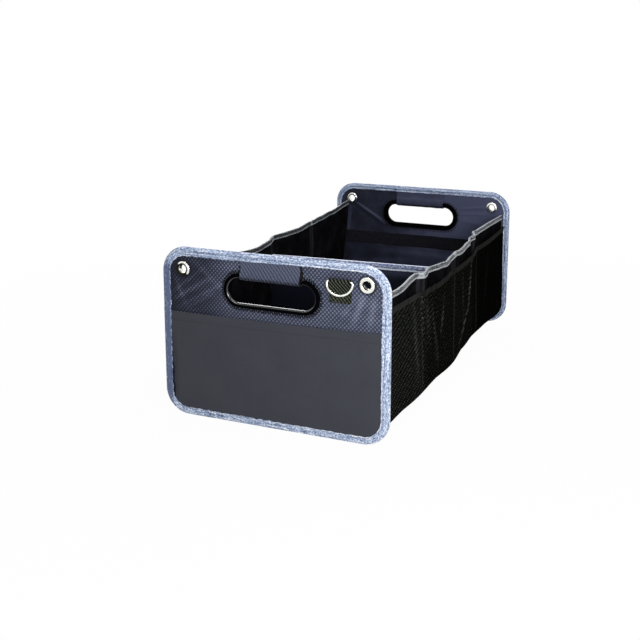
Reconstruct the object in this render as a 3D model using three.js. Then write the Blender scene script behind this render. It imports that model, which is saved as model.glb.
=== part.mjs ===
// Foldable boot organiser: an open cloth box between two stiff end panels.
// Millimetres, +Z up. X runs across the box, Y along it, and the front end panel faces -Y.
// The origin is on the floor, under the middle of the box's outer bounds.
import * as THREE from "three";

// End panels
const panelWidth = 320;
const panelHeight = 230;
const panelCorner = 35;
const panelSpacing = 588; // between the middles of the two panels' boards
const boardThick = 2.4;
const clothThick = 0.9;
const layerGap = 0.3; // air between any two pieces that lie on each other

// Binding tape round the end panels
const bindingReach = 12;
const bindingThick = 1;

// Flat pocket on the front panel
const pocketTop = panelHeight - 83;
const pocketThick = 0.8;
const pocketBow = 2;
const hemHeight = 14;

// Hand hole, its moulded rim and the cloth grip over it
const handleWidth = 122;
const handleHeight = 32;
const handleCentre = panelHeight - 50; // height of the hole's centre above the floor
const sleeveWall = 2;
const rimReach = 7.5;
const rimRise = 3.6;
const rimBackReach = 10;
const rimBackThick = 1.4;
const gripWidth = 86;
const gripThick = 1.2;

// Eyelets at the upper corners
const eyeletHole = 11;
const eyeletFlange = 20;
const eyeletTube = 0.7;
const eyeletRise = 1.5;
const eyeletX = panelWidth / 2 - 31; // from the middle of the panel
// Heights of the eyelets' centres, which are punched a little unevenly
const eyeletHeights = {
  front: { left: panelHeight - 29.5, right: panelHeight - 25 },
  rear: { left: panelHeight - 27, right: panelHeight - 27 },
};

// Webbing tab and D ring on the front panel
const tabX = eyeletX - 34;
const tabWidth = 28;
const tabTail = panelHeight - 50; // height of the tab's sewn lower edge
const webbingThick = 1.2;
const ringWire = 3;
const ringWidth = 34; // between the middles of the wire
const ringDrop = 17;
const ringCorner = 2.5;
const ringZ = tabTail + 27; // height of the ring's straight bar
const ringTilt = 13; // degrees that the hanging ring stands off the panel

// Loop tape sewn across the inside of each end panel
const tapeHeight = 22;
const tapeTop = pocketTop - 3;
const tapeThick = 1;

// Side walls and bottom
const wallThick = 1.6;
const wallInset = 9; // from the panel's outer edge to the wall's outer face
const wallTop = panelHeight - 40; // at the end panels
const wallSag = 8; // dip of the top edge at mid length
const baseUnder = 8; // height of the bottom cloth above the floor
const endCorner = 26; // radius of the lower corner at the end panels
const midCorner = 14; // the same at mid length, where the boards square it
// How far the top edge of each wall is drawn in, as [place along the wall, distance]. The cloth
// folds at three places, which cut its length into four bays.
const rightDrift = [
  [-290, 0],
  [-147, 13],
  [-137, 4],
  [-93, 11],
  [-35, 2],
  [-3, 4],
  [18, 1.5],
  [134, 6],
  [163, 18],
  [262, 0.5],
  [290, 0],
];
const leftDrift = [
  [-290, 0],
  [-149, 11],
  [-138, 4],
  [-60, 8],
  [-4, 5],
  [12, 3],
  [90, 8],
  [146, 4.5],
  [160, 9],
  [290, 0],
];
const bayCount = 4;

// Tape on the top edges of the walls and the divider
const edgingReach = 9;
const edgingThick = 1;

// Mesh pockets outside the walls
const meshThick = 0.8;
const meshClear = 1; // from the wall to the mesh at a seam
const meshBulge = 13;
const seamDrift = [0, 3.5, 1.5, 4, 0]; // how far the mouth is drawn in at each seam
const mouthDrops = [25, 32, 31, 23, 23]; // from the wall's end height to the mouth, at each seam
const mouthSag = [0.5, 7.5, 3, 5]; // dip of each pocket's mouth
const elasticHeight = 9;
const elasticThick = 1.2;
const gatherDepth = 1.5;
const gatherCount = 4; // folds in each bay

// Folding base insert
const boardCount = 4;
const insertCloth = 0.9;
const insertBoard = 3;
const insertHinge = 6; // strip of cloth between two boards
const insertSlack = 1.5; // free length at each end

// Divider
const dividerTop = wallTop - 28;
const dividerBoard = 2;
const dividerClear = 1; // from the walls

// Sizes that follow
const inset = bindingThick + layerGap;
const coverIn = boardThick / 2 + layerGap;
const coverOut = coverIn + clothThick;
const pocketIn = coverOut + layerGap;
const pocketOut = pocketIn + pocketThick;
const panelBack = coverOut + layerGap + bindingThick;
const wallEnd = panelSpacing / 2 - panelBack - layerGap;
const wallMid = panelWidth / 2 - wallInset - wallThick / 2;
const baseMid = baseUnder + wallThick / 2;
const bayLength = (2 * wallEnd) / bayCount;
const dividerBase = baseUnder + wallThick + insertBoard + 2 * insertCloth + 4 * layerGap;

const clamp = (value) => Math.min(1, Math.max(0, value));

function smooth(from, to, value) {
  const share = clamp((value - from) / (to - from));
  return share * share * (3 - 2 * share);
}

const between = (from, to, share) => from + (to - from) * share;

// Materials, one for each finish
const finish = (name, color, roughness, metalness = 0) =>
  new THREE.MeshStandardMaterial({ name, color, roughness, metalness });
const finishes = {
  dobby: finish("dobby_cloth", 0x3a3b47, 0.85),
  lining: finish("lining_cloth", 0x2c2d40, 0.8),
  pocket: finish("pocket_cloth", 0x3e3f46, 0.7),
  wall: finish("wall_cloth", 0x141416, 0.9),
  tape: finish("grey_tape", 0xa9b4cf, 0.6),
  mesh: finish("black_mesh", 0x18181a, 0.9),
  elastic: finish("black_elastic", 0x1c1d1d, 0.9),
  webbing: finish("black_webbing", 0x1e1f1c, 0.85),
  board: finish("stiffener_board", 0x4c4c4f, 0.9),
  loop: finish("loop_tape", 0x141519, 1),
  rim: finish("black_moulding", 0x15151c, 0.35),
  steel: finish("nickel_steel", 0xd9d8cf, 0.25, 1),
};

function piece(name, geometry, material) {
  const mesh = new THREE.Mesh(geometry, material);
  mesh.name = name;
  return mesh;
}

// A closed solid from points and faces of three or four point numbers, turned to face outwards.
function solid(points, faces) {
  const triangles = faces.flatMap(([a, b, c, d]) =>
    d === undefined ? [[a, b, c]] : [[a, b, c], [a, c, d]],
  );
  const corner = (id) => new THREE.Vector3(...points[id]);
  const volume = triangles.reduce(
    (sum, [a, b, c]) => sum + corner(a).dot(corner(b).cross(corner(c))),
    0,
  );
  const outward = volume < 0 ? triangles.map(([a, b, c]) => [a, c, b]) : triangles;
  const geometry = new THREE.BufferGeometry();
  geometry.setAttribute("position", new THREE.Float32BufferAttribute(points.flat(), 3));
  geometry.setIndex(outward.flat());
  geometry.computeVertexNormals();
  return geometry;
}

// A thick sheet about a middle surface. middle(i, j) gives a point for column i and row j.
function sheet(columns, rows, middle, thickness) {
  const at = (i, j) => new THREE.Vector3(...middle(i, j));
  const thick = typeof thickness === "function" ? thickness : () => thickness;
  const points = [];
  for (const side of [1, -1])
    for (let i = 0; i <= columns; i++)
      for (let j = 0; j <= rows; j++) {
        const along = at(Math.min(i + 1, columns), j).sub(at(Math.max(i - 1, 0), j));
        const up = at(i, Math.min(j + 1, rows)).sub(at(i, Math.max(j - 1, 0)));
        const normal = along.cross(up).normalize();
        points.push(at(i, j).addScaledVector(normal, (side * thick(i, j)) / 2).toArray());
      }
  const count = (columns + 1) * (rows + 1);
  const id = (i, j, back = 0) => i * (rows + 1) + j + back * count;
  const faces = [];
  for (let i = 0; i < columns; i++)
    for (let j = 0; j < rows; j++) {
      faces.push([id(i, j), id(i + 1, j), id(i + 1, j + 1), id(i, j + 1)]);
      faces.push([id(i, j + 1, 1), id(i + 1, j + 1, 1), id(i + 1, j, 1), id(i, j, 1)]);
    }
  for (let i = 0; i < columns; i++) {
    faces.push([id(i, 0, 1), id(i + 1, 0, 1), id(i + 1, 0), id(i, 0)]);
    faces.push([id(i, rows), id(i + 1, rows), id(i + 1, rows, 1), id(i, rows, 1)]);
  }
  for (let j = 0; j < rows; j++) {
    faces.push([id(0, j), id(0, j + 1), id(0, j + 1, 1), id(0, j, 1)]);
    faces.push([id(columns, j, 1), id(columns, j + 1, 1), id(columns, j + 1), id(columns, j)]);
  }
  return solid(points, faces);
}

// A closed section carried along rings of points; place(station, [u, v]) gives each point.
function sweep(stations, section, place, closed) {
  const points = stations.flatMap((station) => section.map((corner) => place(station, corner)));
  const size = section.length;
  const faces = [];
  const last = closed ? stations.length : stations.length - 1;
  for (let i = 0; i < last; i++)
    for (let j = 0; j < size; j++) {
      const next = ((i + 1) % stations.length) * size;
      const beside = (j + 1) % size;
      faces.push([i * size + j, next + j, next + beside, i * size + beside]);
    }
  if (!closed) {
    const flat = section.map(([u, v]) => new THREE.Vector2(u, v));
    const end = (stations.length - 1) * size;
    const area = (corners) => THREE.ShapeUtils.area(corners);
    for (const cap of THREE.ShapeUtils.triangulateShape(flat, [])) {
      const agrees = area(cap.map((id) => flat[id])) * area(flat) > 0;
      const [a, b, c] = agrees ? cap : cap.toReversed();
      faces.push([a, b, c], [end + c, end + b, end + a]);
    }
  }
  return solid(points, faces);
}

// Stations round a rectangle with round corners, going anticlockwise seen from the front.
function roundRectangle(width, height, corner, centreZ, steps) {
  const stations = [];
  const corners = [
    [1, -1, -90],
    [1, 1, 0],
    [-1, 1, 90],
    [-1, -1, 180],
  ];
  for (const [sideX, sideZ, start] of corners)
    for (let k = 0; k <= steps; k++) {
      const angle = THREE.MathUtils.degToRad(start + (90 * k) / steps);
      stations.push({
        x: sideX * (width / 2 - corner) + corner * Math.cos(angle),
        z: centreZ + sideZ * (height / 2 - corner) + corner * Math.sin(angle),
        outX: Math.cos(angle),
        outZ: Math.sin(angle),
      });
    }
  return stations;
}

// In an end panel, u runs outwards in its plane and v stands off its outer face, towards -Y.
const inPanel = (at, [u, v]) => [at.x + at.outX * u, -v, at.z + at.outZ * u];
const panelRing = (stations, section) => sweep(stations, section, inPanel, true);

const panelSteps = 5;
const panelOutline = (shrink) =>
  roundRectangle(
    panelWidth - 2 * shrink,
    panelHeight - 2 * shrink,
    panelCorner - shrink,
    panelHeight / 2,
    panelSteps,
  );
const handleSteps = 6;
const handleOutline = (grow) =>
  roundRectangle(
    handleWidth + 2 * grow,
    handleHeight + 2 * grow,
    handleHeight / 2 + grow - 0.01,
    handleCentre,
    handleSteps,
  );

const toPoints = (stations) => stations.map(({ x, z }) => new THREE.Vector2(x, z));

// A flat layer of an end panel, with the hand hole and the eyelet holes cut through it.
function panelLayer(from, to, eyelets) {
  const shape = new THREE.Shape(toPoints(panelOutline(inset)));
  shape.holes.push(new THREE.Path(toPoints(handleOutline(sleeveWall + layerGap))));
  for (const { x, z } of eyelets) {
    const hole = new THREE.Path();
    const radius = eyeletHole / 2 + eyeletTube + layerGap;
    hole.absarc(x, z, radius, 0, 2 * Math.PI, true);
    shape.holes.push(hole);
  }
  const layer = new THREE.ExtrudeGeometry(shape, {
    depth: to - from,
    bevelEnabled: false,
    curveSegments: eyeletSides / 2,
  });
  return layer.translate(0, 0, from).rotateX(Math.PI / 2);
}

const eyeletSides = 16;

// Tape folded over the panel's edge, with a leg on each face.
function panelBinding(outerFace) {
  const inner = -coverOut - layerGap;
  const outer = outerFace + layerGap;
  const soft = bindingThick * 0.6;
  return panelRing(panelOutline(0), [
    [-bindingReach, inner],
    [-bindingReach, inner - bindingThick],
    [-soft, inner - bindingThick],
    [0, inner - bindingThick + soft],
    [0, outer + bindingThick - soft],
    [-soft, outer + bindingThick],
    [-bindingReach, outer + bindingThick],
    [-bindingReach, outer],
    [-bindingThick, outer],
    [-bindingThick, inner],
  ]);
}

// Moulded rim: a sleeve through the hole with a round bead on the outer face.
function handleRim() {
  const seat = coverOut + layerGap;
  const back = -coverOut - layerGap - rimBackThick;
  return panelRing(handleOutline(0), [
    [0, back],
    [0, seat + rimRise * 0.7],
    [rimReach * 0.16, seat + rimRise * 0.94],
    [rimReach * 0.4, seat + rimRise],
    [rimReach * 0.75, seat + rimRise * 0.78],
    [rimReach, seat + rimRise * 0.3],
    [rimReach, seat],
    [sleeveWall, seat],
    [sleeveWall, back],
  ]);
}

// Flat ring that the sleeve snaps into on the inner face.
function handleRimBack() {
  const seat = -coverOut - layerGap;
  const bore = sleeveWall + layerGap;
  return panelRing(handleOutline(0), [
    [bore, seat],
    [rimBackReach, seat],
    [rimBackReach, seat - rimBackThick * 0.5],
    [rimBackReach - 1.5, seat - rimBackThick],
    [bore, seat - rimBackThick],
  ]);
}

// A bent strap: the outline of a polyline with a thickness, as [v, z] points.
function strapOutline(line, thickness) {
  const offset = (side) =>
    line.map(([v, z], k) => {
      const before = line[Math.max(k - 1, 0)];
      const after = line[Math.min(k + 1, line.length - 1)];
      const a = new THREE.Vector2(v - before[0], z - before[1]).normalize();
      const b = new THREE.Vector2(after[0] - v, after[1] - z).normalize();
      const along = a.add(b).normalize();
      const turn = k > 0 && k < line.length - 1 ? Math.max(0.5, along.dot(b)) : 1;
      const reach = (side * thickness) / 2 / turn;
      return [v - along.y * reach, z + along.x * reach];
    });
  return [...offset(1), ...offset(-1).reverse()];
}

// Extrudes a strap's outline across the panel, centred on x.
function strap(line, thickness, width, x) {
  const place = (side, [v, z]) => [x + (side * width) / 2, -v, z];
  return sweep([1, -1], strapOutline(line, thickness), place, false);
}

// Cloth grip: it comes down the outer face, turns through the hole over the rim and goes up inside.
function handleGrip() {
  const gripTop = panelHeight - bindingReach - layerGap;
  const holeTop = handleCentre + handleHeight / 2;
  const half = gripThick / 2;
  const seat = coverOut + layerGap;
  const clear = 2 * layerGap + half;
  const front = seat + rimRise + clear;
  const back = -(seat + rimBackThick + clear);
  const under = holeTop - clear;
  const bend = 1;
  return strap(
    [
      [seat + half, gripTop],
      [seat + half, holeTop + rimReach + 6],
      [front, holeTop + rimReach],
      [front, under + bend],
      [front - bend * 0.3, under + bend * 0.3],
      [front - bend, under],
      [back + bend, under],
      [back + bend * 0.3, under + bend * 0.3],
      [back, under + bend],
      [back, holeTop + rimBackReach],
      [-seat - half, holeTop + rimBackReach + 3],
      [-seat - half, gripTop],
    ],
    gripThick,
    gripWidth,
    0,
  );
}

// Turned profile about the panel's normal, as [radius, v] points.
function turned(profile, x, z) {
  const points = [...profile, profile[0]].map(([r, v]) => new THREE.Vector2(r, -v));
  return new THREE.LatheGeometry(points, eyeletSides).translate(x, 0, z);
}

// Eyelet: a flange on the outer face, and a tube through the panel that is rolled over its washer.
function eyelet({ x, z }) {
  const hole = eyeletHole / 2;
  const tube = hole + eyeletTube;
  const flange = eyeletFlange / 2;
  const seat = coverOut + layerGap;
  const washerBack = -seat - eyeletRise * 0.7 - layerGap;
  return turned(
    [
      [hole, washerBack - 0.2],
      [hole, seat + eyeletRise * 0.6],
      [hole + 1.4, seat + eyeletRise],
      [flange - 1.6, seat + eyeletRise * 0.8],
      [flange, seat + 0.3],
      [flange, seat],
      [tube, seat],
      [tube, washerBack],
      [tube + 1.4, washerBack],
      [tube + 1.2, washerBack - 0.6],
      [hole + 0.5, washerBack - 0.7],
    ],
    x,
    z,
  );
}

function eyeletWasher({ x, z }) {
  const bore = eyeletHole / 2 + eyeletTube + layerGap;
  const flange = eyeletFlange / 2;
  const seat = -coverOut - layerGap;
  return turned(
    [
      [bore, seat],
      [flange, seat],
      [flange, seat - 0.3],
      [flange - 1.5, seat - eyeletRise * 0.7],
      [bore, seat - eyeletRise * 0.7],
    ],
    x,
    z,
  );
}

// Flat pocket: sewn in under the binding on three sides, with a folded hem along its open top.
function frontPocket() {
  const corner = panelCorner - inset;
  const heights = [];
  for (let k = 0; k <= panelSteps; k++) {
    const angle = ((Math.PI / 2) * k) / panelSteps;
    heights.push(inset + corner * (1 - Math.cos(angle)));
  }
  heights.push((panelCorner + pocketTop - hemHeight) / 2, pocketTop - hemHeight - 0.5);
  heights.push(pocketTop - hemHeight, pocketTop);
  const columns = 12;
  const hemFrom = heights.length - 2;
  const middle = (i, j) => {
    const z = heights[j];
    const down = Math.max(0, inset + corner - z);
    const half = panelWidth / 2 - inset - corner + Math.sqrt(corner ** 2 - down ** 2);
    const x = between(-half, half, i / columns);
    const across = Math.sin((Math.PI * i) / columns);
    const out = pocketBow * across * smooth(panelCorner, pocketTop, z);
    const hem = j >= hemFrom ? pocketThick / 2 : 0;
    return [x, -(pocketIn + pocketThick / 2 + out + hem * across), z];
  };
  const thickness = (i, j) =>
    pocketThick * (1 + (j >= hemFrom ? Math.sin((Math.PI * i) / columns) : 0));
  return sheet(columns, heights.length - 1, middle, thickness);
}

// Where the ring's bar lies, off the panel's middle
const tabBack = coverOut + layerGap + webbingThick / 2;
const tabTurn = ringWire / 2 + 2 * layerGap + webbingThick / 2;
const ringV = tabBack + tabTurn;

// Webbing tab: the back tail goes up the panel, turns over the ring's bar and comes down in front.
function ringTab() {
  const turn = [];
  const turnSteps = 6;
  for (let k = 0; k <= turnSteps; k++) {
    const angle = Math.PI * (1 - k / turnSteps);
    turn.push([ringV + tabTurn * Math.cos(angle), ringZ + tabTurn * Math.sin(angle)]);
  }
  const frontTail = tabBack + webbingThick + layerGap;
  return strap(
    [[tabBack, tabTail], ...turn, [frontTail, ringZ - 14], [frontTail, tabTail]],
    webbingThick,
    tabWidth,
    tabX,
  );
}

// D ring: a straight bar on top with round corners, and a half ellipse hanging from it.
function dRing() {
  const half = ringWidth / 2;
  const path = new THREE.Path();
  path.moveTo(half - ringCorner, 0);
  path.lineTo(ringCorner - half, 0);
  path.absarc(ringCorner - half, -ringCorner, ringCorner, Math.PI / 2, Math.PI, false);
  path.absellipse(0, -ringCorner, half, ringDrop - ringCorner, Math.PI, 2 * Math.PI, false, 0);
  path.absarc(half - ringCorner, -ringCorner, ringCorner, 0, Math.PI / 2, false);
  const outline = path.getPoints(10).slice(0, -1);
  const wireSides = 8;
  const wire = [];
  for (let k = 0; k < wireSides; k++) {
    const angle = (2 * Math.PI * k) / wireSides;
    wire.push([(ringWire / 2) * Math.cos(angle), (ringWire / 2) * Math.sin(angle)]);
  }
  const points = outline.filter((p, k) => k === 0 || p.distanceTo(outline[k - 1]) > 0.5);
  const stations = points.map((p, k) => {
    const before = points[(k + points.length - 1) % points.length];
    const after = points[(k + 1) % points.length];
    const along = after.clone().sub(before).normalize();
    return { x: p.x, z: p.y, outX: along.y, outZ: -along.x };
  });
  return panelRing(stations, wire);
}

// Loop tape lying on the lining, between the legs of the binding.
function loopTape() {
  const half = panelWidth / 2 - bindingReach - layerGap;
  const back = -coverOut - layerGap;
  const strip = new THREE.BoxGeometry(2 * half, tapeThick, tapeHeight);
  return strip.translate(0, -(back - tapeThick / 2), tapeTop - tapeHeight / 2);
}

// Builds one end panel in its own frame: board in the plane y = 0, outer face towards -Y. Where
// it is turned round afterwards, facing is -1, which keeps left and right as seen from the front.
function endPanel(name, withPocket, facing) {
  const group = new THREE.Group();
  const outerFace = withPocket ? pocketOut : coverOut;
  const part = (suffix, geometry, material) =>
    group.add(piece(`${name}_${suffix}`, geometry, material));
  const heights = eyeletHeights[name];
  const eyelets = [
    { side: "left", x: -eyeletX * facing, z: heights.left },
    { side: "right", x: eyeletX * facing, z: heights.right },
  ];
  part("board", panelLayer(-boardThick / 2, boardThick / 2, eyelets), finishes.board);
  part("outer_cover", panelLayer(coverIn, coverOut, eyelets), finishes.dobby);
  part("lining", panelLayer(-coverOut, -coverIn, eyelets), finishes.lining);
  part("binding", panelBinding(outerFace), finishes.tape);
  part("handle_rim", handleRim(), finishes.rim);
  part("handle_rim_back", handleRimBack(), finishes.rim);
  part("handle_grip", handleGrip(), finishes.dobby);
  part("loop_tape", loopTape(), finishes.loop);
  for (const place of eyelets) {
    part(`eyelet_${place.side}`, eyelet(place), finishes.steel);
    part(`eyelet_washer_${place.side}`, eyeletWasher(place), finishes.steel);
  }
  return group;
}

// How far the top edge is drawn in at y.
function driftAt(drift, y) {
  const next = Math.max(1, drift.findIndex(([place]) => place >= y));
  const [from, before] = drift[next - 1];
  const [to, after] = drift[next];
  return between(before, after, smooth(from, to, y));
}

const alongShare = (y) => 1 - (y / wallEnd) ** 2;
const topAt = (y) => wallTop - wallSag * alongShare(y);
const cornerAt = (y) => between(endCorner, midCorner, smooth(0, 1, alongShare(y)));

// The wall's middle surface at y and at a girth, counted up from the bottom seam. Its top edge
// is drawn in by a given distance.
function wallPoint(drawn, y, girth) {
  const corner = cornerAt(y);
  const arc = (corner * Math.PI) / 2;
  if (girth <= arc) {
    const angle = girth / corner;
    return [wallMid - corner * (1 - Math.sin(angle)), y, baseMid + corner * (1 - Math.cos(angle))];
  }
  const z = baseMid + corner + girth - arc;
  return [wallMid - drawn * smooth(baseMid + corner, topAt(y), z), y, z];
}

const girthAt = (y, z) => {
  const corner = cornerAt(y);
  return (corner * Math.PI) / 2 + z - baseMid - corner;
};

// Places along the bottom, and along a wall with the ends of its folds added.
const evenSteps = 24;
const evenPlaces = [];
for (let k = 0; k <= evenSteps; k++) evenPlaces.push(between(-wallEnd, wallEnd, k / evenSteps));

function wallPlaces(drift) {
  const folds = drift.slice(1, -1).map(([place]) => place);
  const sorted = [...evenPlaces, ...folds].sort((a, b) => a - b);
  return sorted.filter((y, k) => k === 0 || y - sorted[k - 1] > 2 || folds.includes(y));
}

const cornerRows = 4;
const wallRows = [0.18, 0.4, 0.6, 0.8, 1];

function sideWall(drift) {
  const places = wallPlaces(drift);
  const middle = (i, j) => {
    const y = places[i];
    const arc = (cornerAt(y) * Math.PI) / 2;
    const top = girthAt(y, topAt(y));
    const share = wallRows[j - cornerRows - 1];
    const girth = j <= cornerRows ? (arc * j) / cornerRows : between(arc, top, share);
    return wallPoint(driftAt(drift, y), y, girth);
  };
  return sheet(places.length - 1, cornerRows + wallRows.length, middle, wallThick);
}

// Tape folded over an edge: a section of [out, up] points about the edge's middle.
function edgingSection(clothHalf, reach) {
  const inner = clothHalf + layerGap;
  const outer = inner + edgingThick;
  return [
    [outer, -reach],
    [outer, layerGap],
    [inner, layerGap + edgingThick],
    [-inner, layerGap + edgingThick],
    [-outer, layerGap],
    [-outer, -reach],
    [-inner, -reach],
    [-inner, layerGap],
    [inner, layerGap],
    [inner, -reach],
  ];
}

function wallEdging(drift) {
  const edge = (y, up) => wallPoint(driftAt(drift, y), y, girthAt(y, topAt(y) + up));
  const tops = wallPlaces(drift).map((y) => edge(y, 0));
  const stations = tops.map(([x, y, z], k) => {
    const before = tops[Math.max(k - 1, 0)];
    const after = tops[Math.min(k + 1, tops.length - 1)];
    const a = new THREE.Vector2(x - before[0], y - before[1]).normalize();
    const b = new THREE.Vector2(after[0] - x, after[1] - y).normalize();
    const along = a.clone().add(b).normalize();
    const ends = k === 0 || k === tops.length - 1;
    const turn = ends ? 1 : Math.max(0.6, along.dot(b));
    return { x, y, z, outX: ends ? 1 : along.y / turn, outY: ends ? 0 : -along.x / turn };
  });
  const lean = (at, [out, up]) => {
    const [x] = edge(at.y, Math.min(up, 0));
    return [x + at.outX * out, at.y + at.outY * out, at.z + up];
  };
  const section = edgingSection(wallThick / 2 + layerGap, edgingReach);
  return sweep(stations, section, lean, false);
}

// The bay that y lies in, and how far along that bay it is.
function bayAt(y) {
  const bay = Math.min(bayCount - 1, Math.max(0, Math.floor((y + wallEnd) / bayLength)));
  return [bay, clamp((y + wallEnd) / bayLength - bay)];
}

// How far the pocket cloth stands off the wall, at y and at a share of its height.
function slackAt(y, share) {
  const [, across] = bayAt(y);
  const belly = Math.sin(Math.PI * across) ** 0.75;
  const folds = 0.5 - 0.5 * Math.cos(2 * Math.PI * gatherCount * across);
  return meshBulge * belly * (0.3 + 0.7 * share) - gatherDepth * folds * belly;
}

function mouthAt(y) {
  const [bay, across] = bayAt(y);
  const drop = between(mouthDrops[bay], mouthDrops[bay + 1], across);
  return wallTop - drop - mouthSag[bay] * Math.sin(Math.PI * across);
}

function seamDriftAt(y) {
  const [bay, across] = bayAt(y);
  return between(seamDrift[bay], seamDrift[bay + 1], across);
}

const meshSteps = 8;
const meshStations = [];
for (let k = 0; k <= bayCount * meshSteps; k++)
  meshStations.push(between(-wallEnd, wallEnd, k / (bayCount * meshSteps)));

// Cloth outside the wall. girths(y) lists its rows, and shares says how far up each row is.
function pocketCloth(girths, shares, thickness) {
  const off = (wallThick + thickness) / 2 + meshClear;
  const middle = (i, j) => {
    const y = meshStations[i];
    const girth = girths(y)[j];
    const [x, , z] = wallPoint(seamDriftAt(y), y, girth);
    const angle = clamp(girth / ((cornerAt(y) * Math.PI) / 2)) * (Math.PI / 2);
    const out = off + slackAt(y, shares[j]);
    return [x + out * Math.sin(angle), y, z - out * Math.cos(angle)];
  };
  return sheet(meshStations.length - 1, shares.length - 1, middle, thickness);
}

const elasticFoot = (y) => girthAt(y, mouthAt(y) - elasticHeight);

// The mesh starts half way up the wall's lower corner and ends under the elastic.
function meshPockets() {
  const corner = [0.5, 0.75, 1];
  const rises = [0.3, 0.65, 1];
  const girths = (y) => {
    const arc = (cornerAt(y) * Math.PI) / 2;
    const top = elasticFoot(y) - layerGap;
    return [...corner.map((share) => arc * share), ...rises.map((k) => between(arc, top, k))];
  };
  return pocketCloth(girths, [0, 0.08, 0.16, 0.4, 0.67, 0.94], meshThick);
}

function pocketElastic() {
  const girths = (y) => [elasticFoot(y), girthAt(y, mouthAt(y))];
  return pocketCloth(girths, [0.94, 1], elasticThick);
}

// Builds a side wall with its edging and its row of pockets, for +X; the other side is mirrored.
function sideGroup(name, drift, mirrored) {
  const group = new THREE.Group();
  const part = (suffix, geometry, material) =>
    group.add(piece(`${name}_${suffix}`, geometry, material));
  part("wall", sideWall(drift), finishes.wall);
  part("wall_edging", wallEdging(drift), finishes.tape);
  part("mesh_pockets", meshPockets(), finishes.mesh);
  part("pocket_elastic", pocketElastic(), finishes.elastic);
  if (mirrored) group.scale.x = -1;
  return group;
}

// Bottom cloth between the seams of the two walls.
function bottomCloth() {
  const middle = (i, j) => {
    const y = evenPlaces[i];
    const half = wallMid - cornerAt(y) - layerGap;
    return [between(half, -half, j), y, baseMid];
  };
  return sheet(evenPlaces.length - 1, 1, middle, wallThick);
}

// Base insert: four boards in a flat sleeve of cloth that is sewn through between them.
function baseInsert() {
  const group = new THREE.Group();
  const half = wallMid - endCorner;
  const reach = wallEnd - insertSlack;
  const under = baseUnder + wallThick + layerGap;
  const boardFrom = under + insertCloth + layerGap;
  const boardTo = boardFrom + insertBoard;
  const pitch = (2 * reach) / boardCount;
  const lower = new THREE.BoxGeometry(2 * half, 2 * reach, insertCloth);
  lower.translate(0, 0, under + insertCloth / 2);
  group.add(piece("base_insert_under_cloth", lower, finishes.lining));
  for (let k = 0; k < boardCount; k++) {
    const long = pitch - insertHinge - 2;
    const board = new THREE.BoxGeometry(2 * (half - 3), long, insertBoard);
    board.translate(0, -reach + (k + 0.5) * pitch, (boardFrom + boardTo) / 2);
    group.add(piece(`base_board_${k + 1}`, board, finishes.board));
  }
  const low = boardFrom + insertCloth / 2;
  const high = boardTo + layerGap + insertCloth / 2;
  const line = [];
  for (let k = 0; k < boardCount; k++) {
    const begin = -reach + k * pitch;
    const fold = insertHinge / 2;
    if (k === 0) line.push([begin, low]);
    line.push([begin + fold * 0.4, low], [begin + fold, high], [begin + pitch - fold, high]);
    line.push([begin + pitch - fold * 0.4, low]);
  }
  line.push([reach, low]);
  const place = (side, [y, z]) => [side * half, y, z];
  const upper = sweep([-1, 1], strapOutline(line, insertCloth), place, false);
  group.add(piece("base_insert_top_cloth", upper, finishes.lining));
  return group;
}

// Outline of the divider: its sides follow the inner faces of the two walls.
function dividerOutline(top) {
  const side = (drift, sign) => {
    const steps = 6;
    const line = [];
    for (let k = 0; k <= steps; k++) {
      const z = between(dividerBase, top, (k / steps) ** 1.6);
      const corner = cornerAt(0);
      const down = Math.max(0, baseMid + corner - z);
      const inside = corner - wallThick / 2;
      const arcX = wallMid - corner + Math.sqrt(Math.max(0, inside ** 2 - down ** 2));
      const wallX = wallMid - driftAt(drift, 0) * smooth(baseMid + corner, topAt(0), z);
      const reach = Math.min(arcX, wallX - wallThick / 2) - dividerClear;
      line.push(new THREE.Vector2(sign * reach, z));
    }
    return line;
  };
  return new THREE.Shape([...side(rightDrift, 1), ...side(leftDrift, -1).reverse()]);
}

function divider() {
  const group = new THREE.Group();
  const layer = (name, top, from, to, material) => {
    const slab = new THREE.ExtrudeGeometry(dividerOutline(top), {
      depth: to - from,
      bevelEnabled: false,
    });
    group.add(piece(name, slab.translate(0, 0, from).rotateX(Math.PI / 2), material));
  };
  const boardHalf = dividerBoard / 2;
  const clothIn = boardHalf + layerGap;
  const clothOut = clothIn + clothThick;
  const clothTop = dividerTop - edgingThick - layerGap;
  layer("divider_board", clothTop, -boardHalf, boardHalf, finishes.board);
  layer("divider_front_cloth", clothTop, clothIn, clothOut, finishes.lining);
  layer("divider_rear_cloth", clothTop, -clothOut, -clothIn, finishes.lining);
  const ends = [rightDrift, leftDrift].map((drift, k) => {
    const [x] = wallPoint(driftAt(drift, 0), 0, girthAt(0, dividerTop));
    return { x: (k ? -1 : 1) * (x - wallThick / 2 - dividerClear) };
  });
  const place = (at, [out, up]) => [at.x, -out, clothTop + up];
  const section = edgingSection(clothOut, edgingReach);
  group.add(piece("divider_edging", sweep(ends, section, place, false), finishes.tape));
  return group;
}

const organiser = new THREE.Group();
organiser.name = "boot_organiser";

const front = endPanel("front", true, 1);
front.position.y = -panelSpacing / 2;
front.add(piece("front_pocket", frontPocket(), finishes.pocket));
front.add(piece("d_ring_tab", ringTab(), finishes.webbing));
const ring = piece("d_ring", dRing(), finishes.steel);
ring.position.set(tabX, -ringV, ringZ);
ring.rotation.x = -THREE.MathUtils.degToRad(ringTilt);
front.add(ring);

const rear = endPanel("rear", false, -1);
rear.position.y = panelSpacing / 2;
rear.rotation.z = Math.PI;

organiser.add(front, rear, piece("bottom_cloth", bottomCloth(), finishes.wall));
organiser.add(baseInsert(), divider());
organiser.add(sideGroup("right", rightDrift, false), sideGroup("left", leftDrift, true));

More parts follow.
